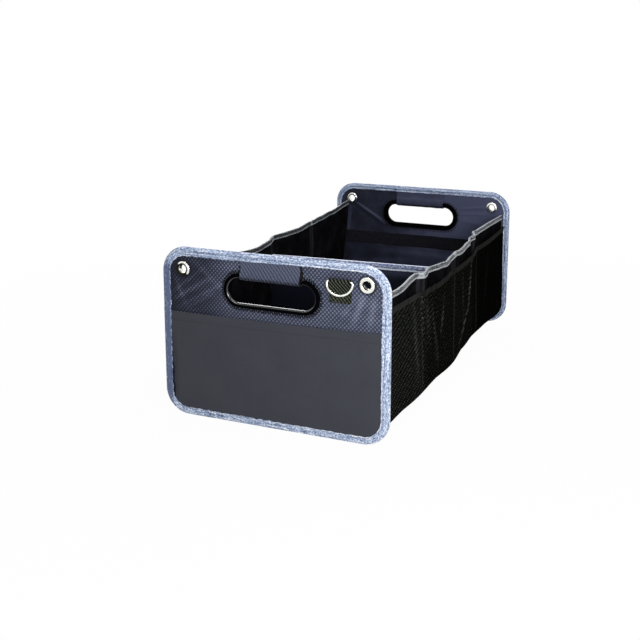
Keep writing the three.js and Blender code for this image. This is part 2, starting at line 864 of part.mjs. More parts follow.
// The origin goes under the middle of the outer bounds.
organiser.updateMatrixWorld(true);
const bounds = new THREE.Box3().setFromObject(organiser, true);
organiser.position.y = -(bounds.min.y + bounds.max.y) / 2;

export default organiser;
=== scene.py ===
"""Foldable boot organiser: its cloth, tape, mesh and fittings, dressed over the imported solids."""
import math
from functools import partial

import bpy
import numpy as np
from mathutils import Matrix, Vector


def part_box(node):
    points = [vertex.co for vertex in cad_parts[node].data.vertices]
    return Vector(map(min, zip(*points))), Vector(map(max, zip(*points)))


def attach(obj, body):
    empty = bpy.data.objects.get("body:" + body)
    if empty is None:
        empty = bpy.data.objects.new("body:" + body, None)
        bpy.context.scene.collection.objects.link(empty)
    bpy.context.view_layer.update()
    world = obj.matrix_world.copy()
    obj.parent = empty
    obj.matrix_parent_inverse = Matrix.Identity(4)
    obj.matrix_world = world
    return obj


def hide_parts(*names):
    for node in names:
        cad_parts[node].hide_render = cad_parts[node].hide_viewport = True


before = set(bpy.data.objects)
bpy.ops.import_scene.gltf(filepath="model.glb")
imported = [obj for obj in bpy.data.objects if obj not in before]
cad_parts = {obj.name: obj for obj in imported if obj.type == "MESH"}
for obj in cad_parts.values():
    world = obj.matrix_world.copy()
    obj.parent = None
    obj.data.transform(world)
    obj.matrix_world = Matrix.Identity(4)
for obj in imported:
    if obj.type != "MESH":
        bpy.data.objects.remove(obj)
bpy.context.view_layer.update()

MM = 0.001

# Sizes of the part in millimetres, those of its solids or a little finer
PANEL_WIDTH, PANEL_HEIGHT, PANEL_CORNER = 320, 230, 35
BINDING_REACH = 12
COVER_IN, COVER_OUT = 1.5, 2.4
POCKET_IN, POCKET_TOP = 2.7, 147
HANDLE_WIDTH, HANDLE_HEIGHT, HANDLE_Z = 122, 32.8, 180.4
GRIP_HALF = 43
FITTING_SEAT = COVER_OUT + 0.3
EYELET_X, EYELET_HOLE, EYELET_NECK, EYELET_FLANGE = 129, 5.5, 6.2, 10
EYELET_Z = {"front": {"left": 200.5, "right": 205}, "rear": {"left": 203, "right": 203}}
TAB_X, TAB_WIDTH, TAB_TAIL = 95, 28, 180
RING_Z, RING_WIRE, RING_WIDTH, RING_DROP, RING_CORNER, RING_TILT = 207, 1.5, 34, 17, 2.5, 13
TAPE_TOP, TAPE_HEIGHT = 144, 22
SKIN_MARGIN, SEWN_MARGIN, POCKET_MARGIN = 3, 5, 6
CLOTH_THICK, NARROW_CLOTH_THICK, WEBBING_THICK = 0.9, 0.7, 1.2
WALL_THICK, BASE_UNDER, END_CORNER = 1.6, 8, 26
WALL_END = 290
WALL_MID = PANEL_WIDTH / 2 - 9 - WALL_THICK / 2
BASE_MID = BASE_UNDER + WALL_THICK / 2
BAYS, NET_SEAMS = 4, (-145.0, 0.0, 145.0)
WALL_CREASES, SEAM_LINES, EDGING_PLEAT_HIGHLIGHTS = (-143, -1, 150), (-143, 0, 146), (-143, 2, 146)
MESH_CLEAR = 1
ELASTIC_HEIGHT = 7.4
DIVIDER_TOP, DIVIDER_BASE = 162, 15.6
DIVIDER_FACE = 1.75

# Lines along the walls, as places along Y and values: the height of the top edge, how far it is
# drawn in, how far the foot is drawn in, and the radius of the lower corner
OUTWARD = {"right": 1, "left": -1}
TOPS = {"right": [(-290, 192), (-240, 190), (-149, 187), (-60, 182.5), (-30, 180), (-9, 181.5),
                  (5, 186), (30, 184), (100, 182), (137, 181), (151, 188), (200, 191), (290, 191)],
        "left": [(-290, 187), (-240, 186), (-149, 184), (-60, 179), (-12, 180), (3, 184),
                 (50, 182.5), (95, 182.5), (141, 183), (183, 185.5), (219, 188), (290, 197)]}
DRIFTS = {"right": [(-290, 1), (-240, 0.5), (-150, 10), (-139, 0.5), (-97, 8), (-43, 1), (-9, 3.2),
                    (4, 0.3), (30, 0.2), (100, 7), (138, 14.5), (144, 9.5), (149, 14), (158, 11),
                    (200, 7), (290, 4)],
          "left": [(-290, 1), (-149, 9), (-138, 2), (-60, 7), (-4, 3), (10, 1), (90, 7),
                   (146, 3), (160, 4.5), (200, 6), (290, 13)]}
FOOT_DRIFT = [(-290, 0), (0, 0), (75, 3), (145, 6), (220, 5), (290, 0)]
CORNERS = [(-290, 26), (-218, 26), (-145, 20), (-72, 23), (0, 16), (72, 25), (145, 26), (290, 26)]

# Net pockets: drawn in at each seam, their slack in each bay, the height and dip of the mouths,
# and the creases from y, z to y, z with a width and a height
SEAM_DRIFTS = {"right": [0, 5.5, 5, 8.5, 2], "left": [0, 5, 3.5, 4, 1]}
NET_BULGES = [1.5, 4, 6, 3]
MOUTH_TOPS = [174, 163.4, 162.7, 165, 173]
MOUTH_SAG = [-1, 3.3, 2, 1]
NET_CREASES = [(122, 169, 97, 158, 4, 1.3), (97, 160, 80, 84, 3.5, 1.8), (80, 86, 28, 36, 4, 1.5),
               (-53, 128, -66, 84, 4, 1.3), (-104, 128, -80, 44, 5, 0.9),
               (-180, 150, -166, 52, 7, 0.7), (205, 158, 190, 60, 6, 0.7),
               (-128, 154, -120, 96, 11, 0.8), (44, 150, 52, 70, 5, 0.6)]

# The photograph's viewpoint in degrees and metres, and its lens on a 36 mm frame
CAMERA_TURN, CAMERA_RISE, CAMERA_PLACE = 23.902, 11.793, (0.5623, -1.4126, 0.517)
CAMERA_FRAME, CAMERA_LENS, CAMERA_SHIFT = 36, 57.69, -0.1324

# Where the middle of each end panel's board is, and which way its outer face looks
MIDDLE = {end: sum(corner[1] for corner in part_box(f"{end}_board")) / 2 / MM
          for end in ("front", "rear")}
FACING = {"front": -1, "rear": 1}
SHIFT = (MIDDLE["front"] + MIDDLE["rear"]) / 2  # of the walls along Y
ALONG_X, ALONG_Z, UPWARDS = (1, 0, 0), (0, 0, 1), (0, 0, 1)


# Shapes

def ease(start, end, value):
    """Smooth step from 0 at the start to 1 at the end."""
    share = np.clip((value - start) / (end - start), 0, 1)
    return share * share * (3 - 2 * share)


def wander(a, b, size, seed, count=7):
    """Smooth unevenness between about -1 and 1, with lumps of about this size in mm."""
    rng = np.random.default_rng(seed)
    total = np.zeros(np.broadcast(a, b).shape)
    for _ in range(count):
        turn, phase = rng.uniform(0, 2 * math.pi, 2)
        pitch = 2 * math.pi / (size * rng.uniform(0.7, 1.6))
        total += np.sin((a * math.cos(turn) + b * math.sin(turn)) * pitch + phase)
    return total / math.sqrt(count * 2)


def ridge(value, centre, width):
    """A soft ridge, 1 high at its centre."""
    return np.exp(-(((value - centre) / width) ** 2))


def folds(a, b, lines):
    """Height of narrow folds, each given as (a, b) to (a, b), its width and its height."""
    rise = 0
    for a0, b0, a1, b1, width, height in lines:
        run = np.array([a1 - a0, b1 - b0], float)
        length = np.hypot(*run)
        run /= length
        along = (a - a0) * run[0] + (b - b0) * run[1]
        aside = (b - b0) * run[0] - (a - a0) * run[1]
        share = np.clip(along / length, 0, 1)
        beyond = along - share * length
        taper = np.sin(math.pi * (0.08 + 0.84 * share)) ** 0.6
        rise = rise + height * taper * np.exp(-((aside / width) ** 2) - (beyond / (2 * width)) ** 2)
    return rise


def along_line(points, shares):
    """Points at shares of a polyline's length."""
    points = np.asarray(points, float)
    steps = np.hypot(*np.diff(points, axis=0).T[:2])
    reach = np.concatenate([[0], np.cumsum(steps)]) / steps.sum()
    return [np.interp(shares, reach, column) for column in points.T]


def rounded(points, rounds=2):
    """A polyline with its corners cut twice, so that it turns softly."""
    points = np.asarray(points, float)
    for _ in range(rounds):
        a, b = points[:-1], points[1:]
        inner = np.stack([0.75 * a + 0.25 * b, 0.25 * a + 0.75 * b], axis=1).reshape(-1, 2)
        points = np.vstack([points[:1], inner[1:-1], points[-1:]])
    return points


def outline(width, height, corner, centre_z, steps=24):
    """A rectangle with round corners from the middle of its bottom, as x, z and the way out."""
    rows = []
    for side_x, side_z, start in ((1, -1, -90), (1, 1, 0), (-1, 1, 90), (-1, -1, 180)):
        for k in range(steps + 1):
            turn = math.radians(start + 90 * k / steps)
            rows.append((side_x * (width / 2 - corner) + corner * math.cos(turn),
                         centre_z + side_z * (height / 2 - corner) + corner * math.sin(turn),
                         math.cos(turn), math.sin(turn)))
    bottom = (0, centre_z - height / 2, 0, -1)
    return [bottom, *rows, bottom]


def on_panel(end, x, off, z):
    """Points of an end panel, off its board's middle towards its outer face."""
    off = off + 0 * np.asarray(x)
    return np.broadcast_arrays(x, MIDDLE[end] + FACING[end] * off, z)


def alone(piece):
    """Selects this piece and no other."""
    bpy.ops.object.select_all(action="DESELECT")
    piece.select_set(True)
    bpy.context.view_layer.objects.active = piece


def started(name):
    """Names the primitive that was just added."""
    piece = bpy.context.object
    piece.name = piece.data.name = name
    alone(piece)
    return piece


def numbers(items, field, width):
    """A field of a mesh's points or faces, as rows of this width."""
    values = np.empty(len(items) * width)
    items.foreach_get(field, values)
    return values.reshape(-1, width)


def finished(piece, material, nodes=(), body="bag", angle=50):
    """Turns the faces out, smooths them and hands the piece to its body."""
    alone(piece)
    bpy.ops.object.mode_set(mode="EDIT")
    bpy.ops.mesh.select_all(action="SELECT")
    bpy.ops.mesh.normals_make_consistent(inside=False)
    bpy.ops.object.mode_set(mode="OBJECT")
    bpy.ops.object.shade_smooth_by_angle(angle=math.radians(angle))
    piece.data.materials.clear()
    piece.data.materials.append(material)
    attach(piece, body)
    if nodes:
        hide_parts(*nodes)
    return piece


def marked(piece, measure):
    """Writes a value at each point for its finish to read: mostly painted light and shade, and on the
    rim where it is glossy.
    """
    points = numbers(piece.data.vertices, "co", 3) / MM
    marks = piece.data.attributes.new("marks", "FLOAT", "POINT")
    marks.data.foreach_set("value", measure(*points.T).astype(np.float32))
    return piece


def cloth(name, columns, rows, flat, place, thick, away=None, marks=None):
    """A grid of cloth laid by a function of the shares across and along it, then thickened.

    Marks give the painted light and shade at each point, and away gives the faces to leave out.
    """
    bpy.ops.object.select_all(action="DESELECT")
    bpy.ops.mesh.primitive_grid_add(x_subdivisions=columns, y_subdivisions=rows, size=1)
    piece = started(name)
    mesh = piece.data
    shares = numbers(mesh.vertices, "co", 3)[:, :2] + 0.5
    points = np.column_stack(np.broadcast_arrays(*place(shares[:, 0], shares[:, 1])))
    mesh.vertices.foreach_set("co", (points * MM).ravel())
    corners = mesh.uv_layers.active.data
    threads = numbers(corners, "uv", 2) * np.array(flat)
    corners.foreach_set("uv", threads.ravel())
    mesh.update()
    if marks:
        marked(piece, marks)
    if away:
        bpy.ops.object.mode_set(mode="EDIT")
        bpy.ops.mesh.select_mode(type="FACE")
        bpy.ops.mesh.select_all(action="DESELECT")
        bpy.ops.object.mode_set(mode="OBJECT")
        centres = numbers(mesh.polygons, "center", 3) / MM
        mesh.polygons.foreach_set("select", away(*centres.T))
        bpy.ops.object.mode_set(mode="EDIT")
        bpy.ops.mesh.delete(type="FACE")
        bpy.ops.object.mode_set(mode="OBJECT")
    body = piece.modifiers.new("thickness", "SOLIDIFY")
    body.thickness = thick * MM
    body.offset = 0
    bpy.ops.object.modifier_apply(modifier=body.name)
    return piece


def dressed(piece, material, node):
    """Finishes a sheet of cloth, hands it to the bag and hides the solid that it stands for."""
    finished(piece, material, [node])


def hoop(name, path, profile, place):
    """A torus whose turns are laid along a closed path and whose section is a profile."""
    bpy.ops.object.select_all(action="DESELECT")
    bpy.ops.mesh.primitive_torus_add(major_segments=len(path), minor_segments=len(profile))
    piece = started(name)
    turns = np.repeat(np.array(path, float), len(profile), axis=0)
    section = np.tile(np.array(profile, float), (len(path), 1))
    x = turns[:, 0] + turns[:, 2] * section[:, 0]
    z = turns[:, 1] + turns[:, 3] * section[:, 0]
    points = np.column_stack(np.broadcast_arrays(*place(x, section[:, 1], z)))
    piece.data.vertices.foreach_set("co", (points * MM).ravel())
    piece.data.update()
    return piece


def sewn(name, centres, runs, lifts, length, radius, material):
    """A row of stitches at x, y and z: one is modelled, and the rest are copies of it.

    Runs say which way each goes and lifts which way it stands, or one of each does for all.
    """
    bpy.ops.object.select_all(action="DESELECT")
    bpy.ops.mesh.primitive_uv_sphere_add(segments=6, ring_count=4, radius=1)
    piece = started(name)
    stitch = numbers(piece.data.vertices, "co", 3)
    polygons = [list(face.vertices) for face in piece.data.polygons]
    centres = np.column_stack(np.broadcast_arrays(*centres)).astype(float)
    runs, lifts = (np.broadcast_to(np.asarray(item, float), centres.shape) for item in (runs, lifts))
    runs = runs / np.linalg.norm(runs, axis=1)[:, None]
    sides = np.cross(lifts, runs)
    length = np.broadcast_to(length, len(centres))
    points = (centres[:, None]
              + stitch[None, :, 0:1] * (runs * length[:, None] / 2)[:, None]
              + stitch[None, :, 1:2] * (sides * radius)[:, None]
              + stitch[None, :, 2:3] * (lifts * radius * 0.8)[:, None])
    faces = [[v + k * len(stitch) for v in face] for k in range(len(centres)) for face in polygons]
    mesh = bpy.data.meshes.new(name)
    mesh.from_pydata((points.reshape(-1, 3) * MM).tolist(), [], faces)
    piece.data = mesh
    return finished(piece, material)


# Finishes

def linear(colour):
    """An sRGB hex colour as Blender's linear one."""
    channels = [int(colour[k:k + 2], 16) / 255 for k in (1, 3, 5)]
    return [c / 12.92 if c <= 0.04045 else ((c + 0.055) / 1.055) ** 2.4 for c in channels] + [1]


def add(tree, kind, inputs=None, **settings):
    """Adds a node with its settings, its values and its links."""
    node = tree.nodes.new("ShaderNode" + kind)
    for name, value in settings.items():
        setattr(node, name, value)
    for socket, value in (inputs or {}).items():
        if isinstance(value, bpy.types.NodeSocket):
            tree.links.new(value, node.inputs[socket])
        else:
            node.inputs[socket].default_value = value
    return node


def begun(name, **values):
    """A new material with plain values on its shader's own sockets."""
    material = bpy.data.materials.new(name)
    material.use_nodes = True
    shader = material.node_tree.nodes["Principled BSDF"]
    for socket, value in values.items():
        shader.inputs[socket.replace("_", " ")].default_value = value
    return material, material.node_tree, shader


def calc(tree, operation, *values):
    """Result of a sum on sockets or numbers."""
    return add(tree, "Math", dict(enumerate(values)), operation=operation).outputs[0]


def ranged(tree, value, start, end, low=0.0, high=1.0, smooth=False):
    """A value brought from start and end to low and high, and held beyond them."""
    limits = {"Value": value, "From Min": start, "From Max": end, "To Min": low, "To Max": high}
    kind = "SMOOTHSTEP" if smooth else "LINEAR"
    return add(tree, "MapRange", limits, interpolation_type=kind).outputs[0]


def noise(tree, place, scale=1, detail=3, **inputs):
    """Uneven shade from 0 to 1."""
    inputs = {"Vector": place, "Scale": scale, "Detail": detail, **inputs}
    return add(tree, "TexNoise", inputs).outputs["Fac"]


def cells(tree, place):
    """Distance from the middle of the nearest grain."""
    return add(tree, "TexVoronoi", {"Vector": place, "Scale": 1}).outputs["Distance"]


def threads_of(tree, across, along, turn=0):
    """Cloth coordinates from the piece's UV map, in cycles of these pitches in mm."""
    place = add(tree, "TexCoord").outputs["UV"]
    turned = add(tree, "Mapping", {"Vector": place, "Rotation": (0, 0, math.radians(turn)),
                                   "Scale": (1000 / across, 1000 / along, 1)})
    return turned.outputs["Vector"]


def solid_place(tree):
    """Coordinates of the piece itself, for finishes that aren't cloth."""
    return add(tree, "TexCoord").outputs["Object"]


def marks_of(tree):
    """The marks that the piece carries at its points."""
    return add(tree, "Attribute", attribute_name="marks").outputs["Fac"]


def wave_pair(tree, cycles):
    """Cosines across and along the cloth, as two sockets."""
    split = add(tree, "SeparateXYZ", {"Vector": cycles}).outputs
    return [calc(tree, "COSINE", calc(tree, "MULTIPLY", split[axis], 2 * math.pi))
            for axis in "XY"]


def tinted(tree, shader, factor, stops):
    """Colour by a factor, from stops of (place, hex colour)."""
    ramp = add(tree, "ValToRGB", {"Fac": factor})
    elements = ramp.color_ramp.elements
    while len(elements) < len(stops):
        elements.new(0.5)
    for element, (place, colour) in zip(elements, stops):
        element.position = place
        element.color = linear(colour)
    tree.links.new(ramp.outputs["Color"], shader.inputs["Base Color"])


def raised(tree, shader, height, distance, strength):
    """Relief of the threads or the mould, at most this distance in mm."""
    bump = add(tree, "Bump", {"Height": height, "Distance": distance * MM, "Strength": strength})
    tree.links.new(bump.outputs["Normal"], shader.inputs["Normal"])


def dobby_cloth():
    """Dobby-woven polyester: matte dark ground with light floats in a diamond grid of 5.5 mm."""
    material, tree, shader = begun("dobby_woven_polyester", Roughness=0.6, Sheen_Weight=0.04,
                                   Sheen_Roughness=0.4, Specular_IOR_Level=0.15)
    floats = calc(tree, "MULTIPLY", *wave_pair(tree, threads_of(tree, 5.3, 5.7)))
    spots = ranged(tree, floats, -0.25, 1.0, 0.12, 0.47, smooth=True)
    patches = noise(tree, threads_of(tree, 46, 15, 32))
    dots = calc(tree, "MULTIPLY", spots, calc(tree, "MULTIPLY_ADD", patches, 1.1, 0.4))
    grain = calc(tree, "MULTIPLY_ADD", noise(tree, threads_of(tree, 1.3, 1.3)), 0.34, -0.02)
    shade = calc(tree, "ADD", calc(tree, "ADD", dots, grain), marks_of(tree))
    tinted(tree, shader, shade, [(0.0, "#12141f"), (0.3, "#343849"), (1.0, "#98a0b8")])
    raised(tree, shader, dots, 0.35, 0.5)
    return material


def plain_weave(name, dark, light, pitch, rough, patch, shine=0.12):
    """Plain-woven polyester: crossed threads with faint uneven patches of wear and tension."""
    material, tree, shader = begun(name, Roughness=rough, Specular_IOR_Level=shine)
    weave = calc(tree, "MULTIPLY", *wave_pair(tree, threads_of(tree, pitch, pitch)))
    blotches = noise(tree, threads_of(tree, patch, patch), detail=4, Roughness=0.6)
    grain = calc(tree, "MULTIPLY_ADD", weave, 0.12, ranged(tree, blotches, 0, 1, 0.3, 0.7))
    shade = calc(tree, "ADD", grain, marks_of(tree))
    tinted(tree, shader, shade, [(0.25, dark), (0.75, light)])
    raised(tree, shader, grain, 0.25, 0.35)
    return material


def twill(name, dark, light, pitch):
    """Twill-woven polyester: fine diagonal rows of floats that catch the light."""
    material, tree, shader = begun(name, Roughness=0.6, Sheen_Weight=0.04, Sheen_Roughness=0.4,
                                   Specular_IOR_Level=0.15)
    rows, across = wave_pair(tree, threads_of(tree, pitch, pitch * 2, 56))
    floats = calc(tree, "MULTIPLY_ADD", across, 0.3, rows)
    grain = calc(tree, "MULTIPLY_ADD", floats, 0.2, noise(tree, threads_of(tree, 1.6, 1.6)))
    shade = calc(tree, "ADD", grain, marks_of(tree))
    # The black first stop carries the painted shadow in the front grip's slit
    tinted(tree, shader, shade, [(0.0, "#040406"), (0.12, dark), (1.0, light)])
    raised(tree, shader, grain, 0.3, 0.5)
    return material


def lurex_tape(name, dark, middle, bright, rough, width, edge):
    """Woven tape with metal thread: grains of light and dark, long ridges, and painted highlights
    along both edges and the middle fold.
    """
    material, tree, shader = begun(name, Roughness=rough, Metallic=0.1, Specular_IOR_Level=0.25)
    place = add(tree, "TexCoord").outputs["UV"]
    over = add(tree, "SeparateXYZ", {"Vector": place}).outputs["Y"]
    aside = calc(tree, "ABSOLUTE", calc(tree, "MULTIPLY_ADD", over, 1000, -width / 2))
    # Painted highlights along both edges of the tape and along its middle fold, as strong as edge
    edge_highlight = ranged(tree, aside, width / 2 - 3.4, width / 2 - 2.0, 0, edge, smooth=True)
    fold = ranged(tree, aside, 2.4, 0.8, 0, edge, smooth=True)
    ridges = noise(tree, threads_of(tree, 34, 2.3), detail=2)
    fine = noise(tree, threads_of(tree, 2.6, 1.7), detail=2, Roughness=0.7)
    grains = calc(tree, "MULTIPLY_ADD", cells(tree, threads_of(tree, 3.0, 2.2)), -0.35, fine)
    drawn = calc(tree, "MULTIPLY_ADD", ridges, 0.55, grains)
    mixed = calc(tree, "ADD", drawn, calc(tree, "ADD", edge_highlight, fold))
    shade = calc(tree, "ADD", mixed, marks_of(tree))
    tinted(tree, shader, shade, [(0.36, dark), (0.62, middle), (0.88, bright)])
    raised(tree, shader, drawn, 0.5, 0.8)
    return material


def knitted_mesh():
    """Knitted net: holes in slanted rows, 4 and 8 mm apart so that they show."""
    material, tree, shader = begun("knitted_polyester_net", Roughness=0.8, Specular_IOR_Level=0)
    rows, _ = wave_pair(tree, threads_of(tree, 4.4, 4.4, -48))
    lines, _ = wave_pair(tree, threads_of(tree, 7.7, 7.7, -105))
    lattice = calc(tree, "ADD", rows, lines)
    height = add(tree, "SeparateXYZ", {"Vector": threads_of(tree, 1, 1)}).outputs["Y"]
    yarn = calc(tree, "MAXIMUM", ranged(tree, lattice, 1.1, 0.7), ranged(tree, height, 22, 18))
    net_knots_and_pleat_highlights = calc(tree, "MULTIPLY_ADD", lattice, -0.16, noise(tree, threads_of(tree, 9, 1.6)))
    shade = calc(tree, "ADD", net_knots_and_pleat_highlights, marks_of(tree))
    tinted(tree, shader, shade, [(0.2, "#040504"), (0.6, "#151614"), (1.0, "#4c4f4b")])
    raised(tree, shader, lattice, 0.6, -0.6)
    tree.links.new(yarn, shader.inputs["Alpha"])
    return material


def ribbed(name, dark, light, pitch, turn, rough):
    """Ribbed narrow fabric: cords of thread side by side, as in elastic and webbing."""
    material, tree, shader = begun(name, Roughness=rough, Specular_IOR_Level=0.04)
    along, across = wave_pair(tree, threads_of(tree, pitch, pitch, turn))
    fuzz = noise(tree, threads_of(tree, 0.9, 0.9), detail=2)
    cords = calc(tree, "MULTIPLY_ADD", along, 0.3, fuzz)
    shade = calc(tree, "MULTIPLY_ADD", across, 0.08, cords)
    tinted(tree, shader, shade, [(0.45, dark), (0.9, light)])
    raised(tree, shader, shade, 0.35, 0.6)
    return material


def loop_pile():
    """Brushed loop tape: a soft black pile of tufts with no shine."""
    material, tree, shader = begun("brushed_loop_pile", Roughness=0.95, Sheen_Weight=0.06,
                                   Sheen_Roughness=0.6, Specular_IOR_Level=0.05)
    tufts = cells(tree, threads_of(tree, 1.6, 1.6))
    tinted(tree, shader, tufts, [(0.1, "#23242c"), (0.6, "#0f0f15")])
    raised(tree, shader, tufts, 0.8, -0.8)
    return material


def moulded_abs():
    """Moulded ABS: black, dull from the mould, and glossy along the lip that hands polish."""
    material, tree, shader = begun("moulded_abs", Roughness=0.2)
    shader.inputs["Base Color"].default_value = linear("#050507")
    tree.links.new(marks_of(tree), shader.inputs["Specular IOR Level"])
    flow = noise(tree, solid_place(tree), 140, 2)
    tree.links.new(ranged(tree, flow, 0, 1, 0.14, 0.26), shader.inputs["Roughness"])
    raised(tree, shader, flow, 0.1, 0.1)
    return material


def nickel_plate():
    """Nickel-plated steel: bright and faintly warm, with fine wear that dulls the high spots."""
    material, tree, shader = begun("nickel_plated_steel", Metallic=1, Roughness=0.2)
    wear = noise(tree, solid_place(tree), 260, 2)
    # Marks take painted shade off the plating's colour
    shade = calc(tree, "SUBTRACT", wear, marks_of(tree))
    tinted(tree, shader, shade, [(0.0, "#1d1d1a"), (0.3, "#dcddd0"), (0.6, "#fafaf4")])
    tree.links.new(ranged(tree, wear, 0, 1, 0.16, 0.3), shader.inputs["Roughness"])
    return material


def spun_thread(name, dark, light):
    """Spun polyester thread: fine plies that catch a soft light."""
    material, tree, shader = begun(name, Roughness=0.7, Specular_IOR_Level=0.1)
    plies = noise(tree, solid_place(tree), 900, 2)
    tinted(tree, shader, plies, [(0.3, dark), (0.7, light)])
    return material


def stiffener_board():
    """Extruded polypropylene board: dull grey with the streaks of its die."""
    material, tree, shader = begun("extruded_polypropylene_board", Roughness=0.6)
    streaks = add(tree, "Mapping", {"Vector": solid_place(tree), "Scale": (30, 600, 600)})
    grain = noise(tree, streaks.outputs["Vector"])
    tinted(tree, shader, grain, [(0.3, "#434346"), (0.7, "#545458")])
    return material


DOBBY = dobby_cloth()
LINING = plain_weave("plain_woven_lining", "#1a1c28", "#4a4e66", 1.5, 0.55, 26)
POCKET_CLOTH = plain_weave("calendered_oxford_cloth", "#303139", "#3f4148", 1.8, 0.6, 60, 0.2)
WALL_CLOTH = plain_weave("plain_woven_wall_cloth", "#08080a", "#38383d", 1.6, 0.8, 30, 0)
GRIP_CLOTH = twill("fine_twill_grip_cloth", "#171a27", "#666c83", 2.9)
PANEL_TAPE = lurex_tape("lurex_binding_tape", "#566281", "#a9b9d6", "#fbfdff", 0.5, 29, 0.06)
EDGE_TAPE = lurex_tape("lurex_edging_tape", "#1c1e20", "#3d4043", "#a6abb0", 0.55, 19.5, 0.3)
DIVIDER_TAPE = lurex_tape("lurex_divider_tape", "#485272", "#8490b2", "#e4ecfc", 0.5, 21.5, 0.3)
NET = knitted_mesh()
ELASTIC = ribbed("ribbed_elastic", "#0d0e0d", "#242622", 1.6, 0, 0.7)
WEBBING = ribbed("diagonal_rib_webbing", "#030403", "#5d6156", 3.6, 40, 0.6)
LOOPS = loop_pile()
ABS = moulded_abs()
NICKEL = nickel_plate()
BLACK_THREAD = spun_thread("spun_black_thread", "#08080b", "#1c1c22")
SEAM_THREAD = spun_thread("spun_seam_thread", "#131413", "#2b2d2a")
HEM_THREAD = spun_thread("spun_hem_thread", "#303139", "#3e4047")
GREY_THREAD = spun_thread("spun_grey_thread", "#475069", "#7f8bab")
OLIVE_THREAD = spun_thread("spun_olive_thread", "#17180f", "#4c4f3a")
BOARD = stiffener_board()


# End panels

def outside_corner(x, z, inset):
    """True beyond a rounded rectangle that lies this far inside the panel's edge."""
    corner = PANEL_CORNER - inset
    dx = np.maximum(np.abs(x) - (PANEL_WIDTH / 2 - inset - corner), 0)
    dz = np.maximum(np.abs(z - PANEL_HEIGHT / 2) - (PANEL_HEIGHT / 2 - inset - corner), 0)
    return np.hypot(dx, dz) > corner


def off_eyelets(end, x, z):
    """Distance from the centre of the nearer eyelet."""
    high = np.where(x < 0, EYELET_Z[end]["left"], EYELET_Z[end]["right"])
    return np.hypot(np.abs(x) - EYELET_X, z - high)


def off_hand_hole(x, z):
    """Distance outwards from the edge of the hand hole."""
    beside = np.maximum(np.abs(x) - (HANDLE_WIDTH - HANDLE_HEIGHT) / 2, 0)
    return np.hypot(beside, z - HANDLE_Z) - HANDLE_HEIGHT / 2


def in_openings(end, x, z, rim, eyelet):
    """True inside the hand hole or an eyelet hole, each grown by a margin."""
    return (off_hand_hole(x, z) < rim) | (off_eyelets(end, x, z) < EYELET_HOLE + eyelet)


# Folds of the panels' cloth: from x, z to x, z, with a width and a height
OUTER_FOLDS = [(-148, 156, -92, 190, 2.6, 0.9), (-146, 168, -98, 204, 2.2, 0.7),
               (-134, 150, -74, 184, 3.0, 0.8), (-122, 150, -84, 172, 2.4, 0.7),
               (-141, 188, -128, 160, 3.2, 0.8), (-112, 214, -74, 180, 3.4, 0.45),
               (126, 194, 112, 158, 4.0, 0.7), (140, 190, 132, 152, 4.0, 0.5),
               (112, 186, 96, 160, 3.0, 0.4)]
INNER_FOLDS = [(-124, 197, -66, 163, 1.9, 1.5), (-122, 190, -72, 158, 1.9, -1.0),
               (-133, 192, -138, 130, 3.5, 0.6), (78, 197, 128, 203, 2.2, 0.9),
               (76, 188, 124, 190, 2.6, 0.7), (80, 176, 140, 166, 3.2, 0.7),
               (-140, 128, 60, 121, 4.5, 0.55), (-60, 112, 130, 104, 6.0, 0.5),
               (-120, 86, -10, 96, 6.0, 0.5), (20, 150, 132, 148, 3.0, 0.4)]


def panel_skin(end, kind):
    """One cloth skin of an end panel: the outer cover or the lining."""
    outer = kind == "outer_cover"
    width, height = PANEL_WIDTH - 2 * SKIN_MARGIN, PANEL_HEIGHT - 2 * SKIN_MARGIN
    lines = OUTER_FOLDS if outer else INNER_FOLDS
    mirror = 1 if end == "front" or not outer else -1
    seed = {"front": 3, "rear": 5}[end] + outer

    def place(across, up):
        x, z = (across - 0.5) * width, SKIN_MARGIN + up * height
        slack = 0.25 * wander(x, z, 34, seed) + folds(mirror * x, z, lines)
        if outer and end == "front":
            slack = slack * ease(POCKET_TOP - 6, POCKET_TOP + 4, z)
        rim = np.hypot(np.maximum(np.abs(x) - 45, 0), z - HANDLE_Z)
        free = ease(27, 34, rim) * ease(10, 15, off_eyelets(end, x, z))
        edge = np.minimum(PANEL_WIDTH / 2 - np.abs(x), np.minimum(z, PANEL_HEIGHT - z))
        free = free * ease(12, 22, edge)
        off = (COVER_IN + COVER_OUT) / 2 + np.clip(slack, 0, 1.1) * free
        return on_panel(end, x, off if outer else -off, z)

    def away(x, y, z):
        return outside_corner(x, z, SEWN_MARGIN) | in_openings(end, x, z, 4.2, 2.8)

    def marks(x, y, z):
        # Painted shadow in a ring round each eyelet, and painted light and shade along the folds
        eyelet_shadow = ease(14, 10.5, off_eyelets(end, x, z))
        pressed = (0.22 if outer else 0.34) * folds(mirror * x, z, lines) - 0.25 * eyelet_shadow
        # Front cover: painted shade over its left part, darker still along its left edge
        if outer and end == "front":
            return pressed + 0.02 - 0.3 * ease(-52, -118, x) - 0.1 * ease(-134, -148, x)
        # Rear lining: painted shade all over, and painted light towards the right, most of it above
        # the loop tape
        if not outer and end == "rear":
            lit = 0.5 * ease(-60, 110, x) * ease(120, 150, z) + 0.2 * ease(-60, 20, x)
            return pressed - 0.22 + lit
        return pressed

    piece = cloth(f"{end}_{kind}_cloth", 196, 140, (width * MM, height * MM), place, CLOTH_THICK,
                  away, marks)
    material, slot = (DOBBY, "dobby_cloth") if outer else (LINING, "lining_cloth")
    dressed(piece, material, f"{end}_{kind}")


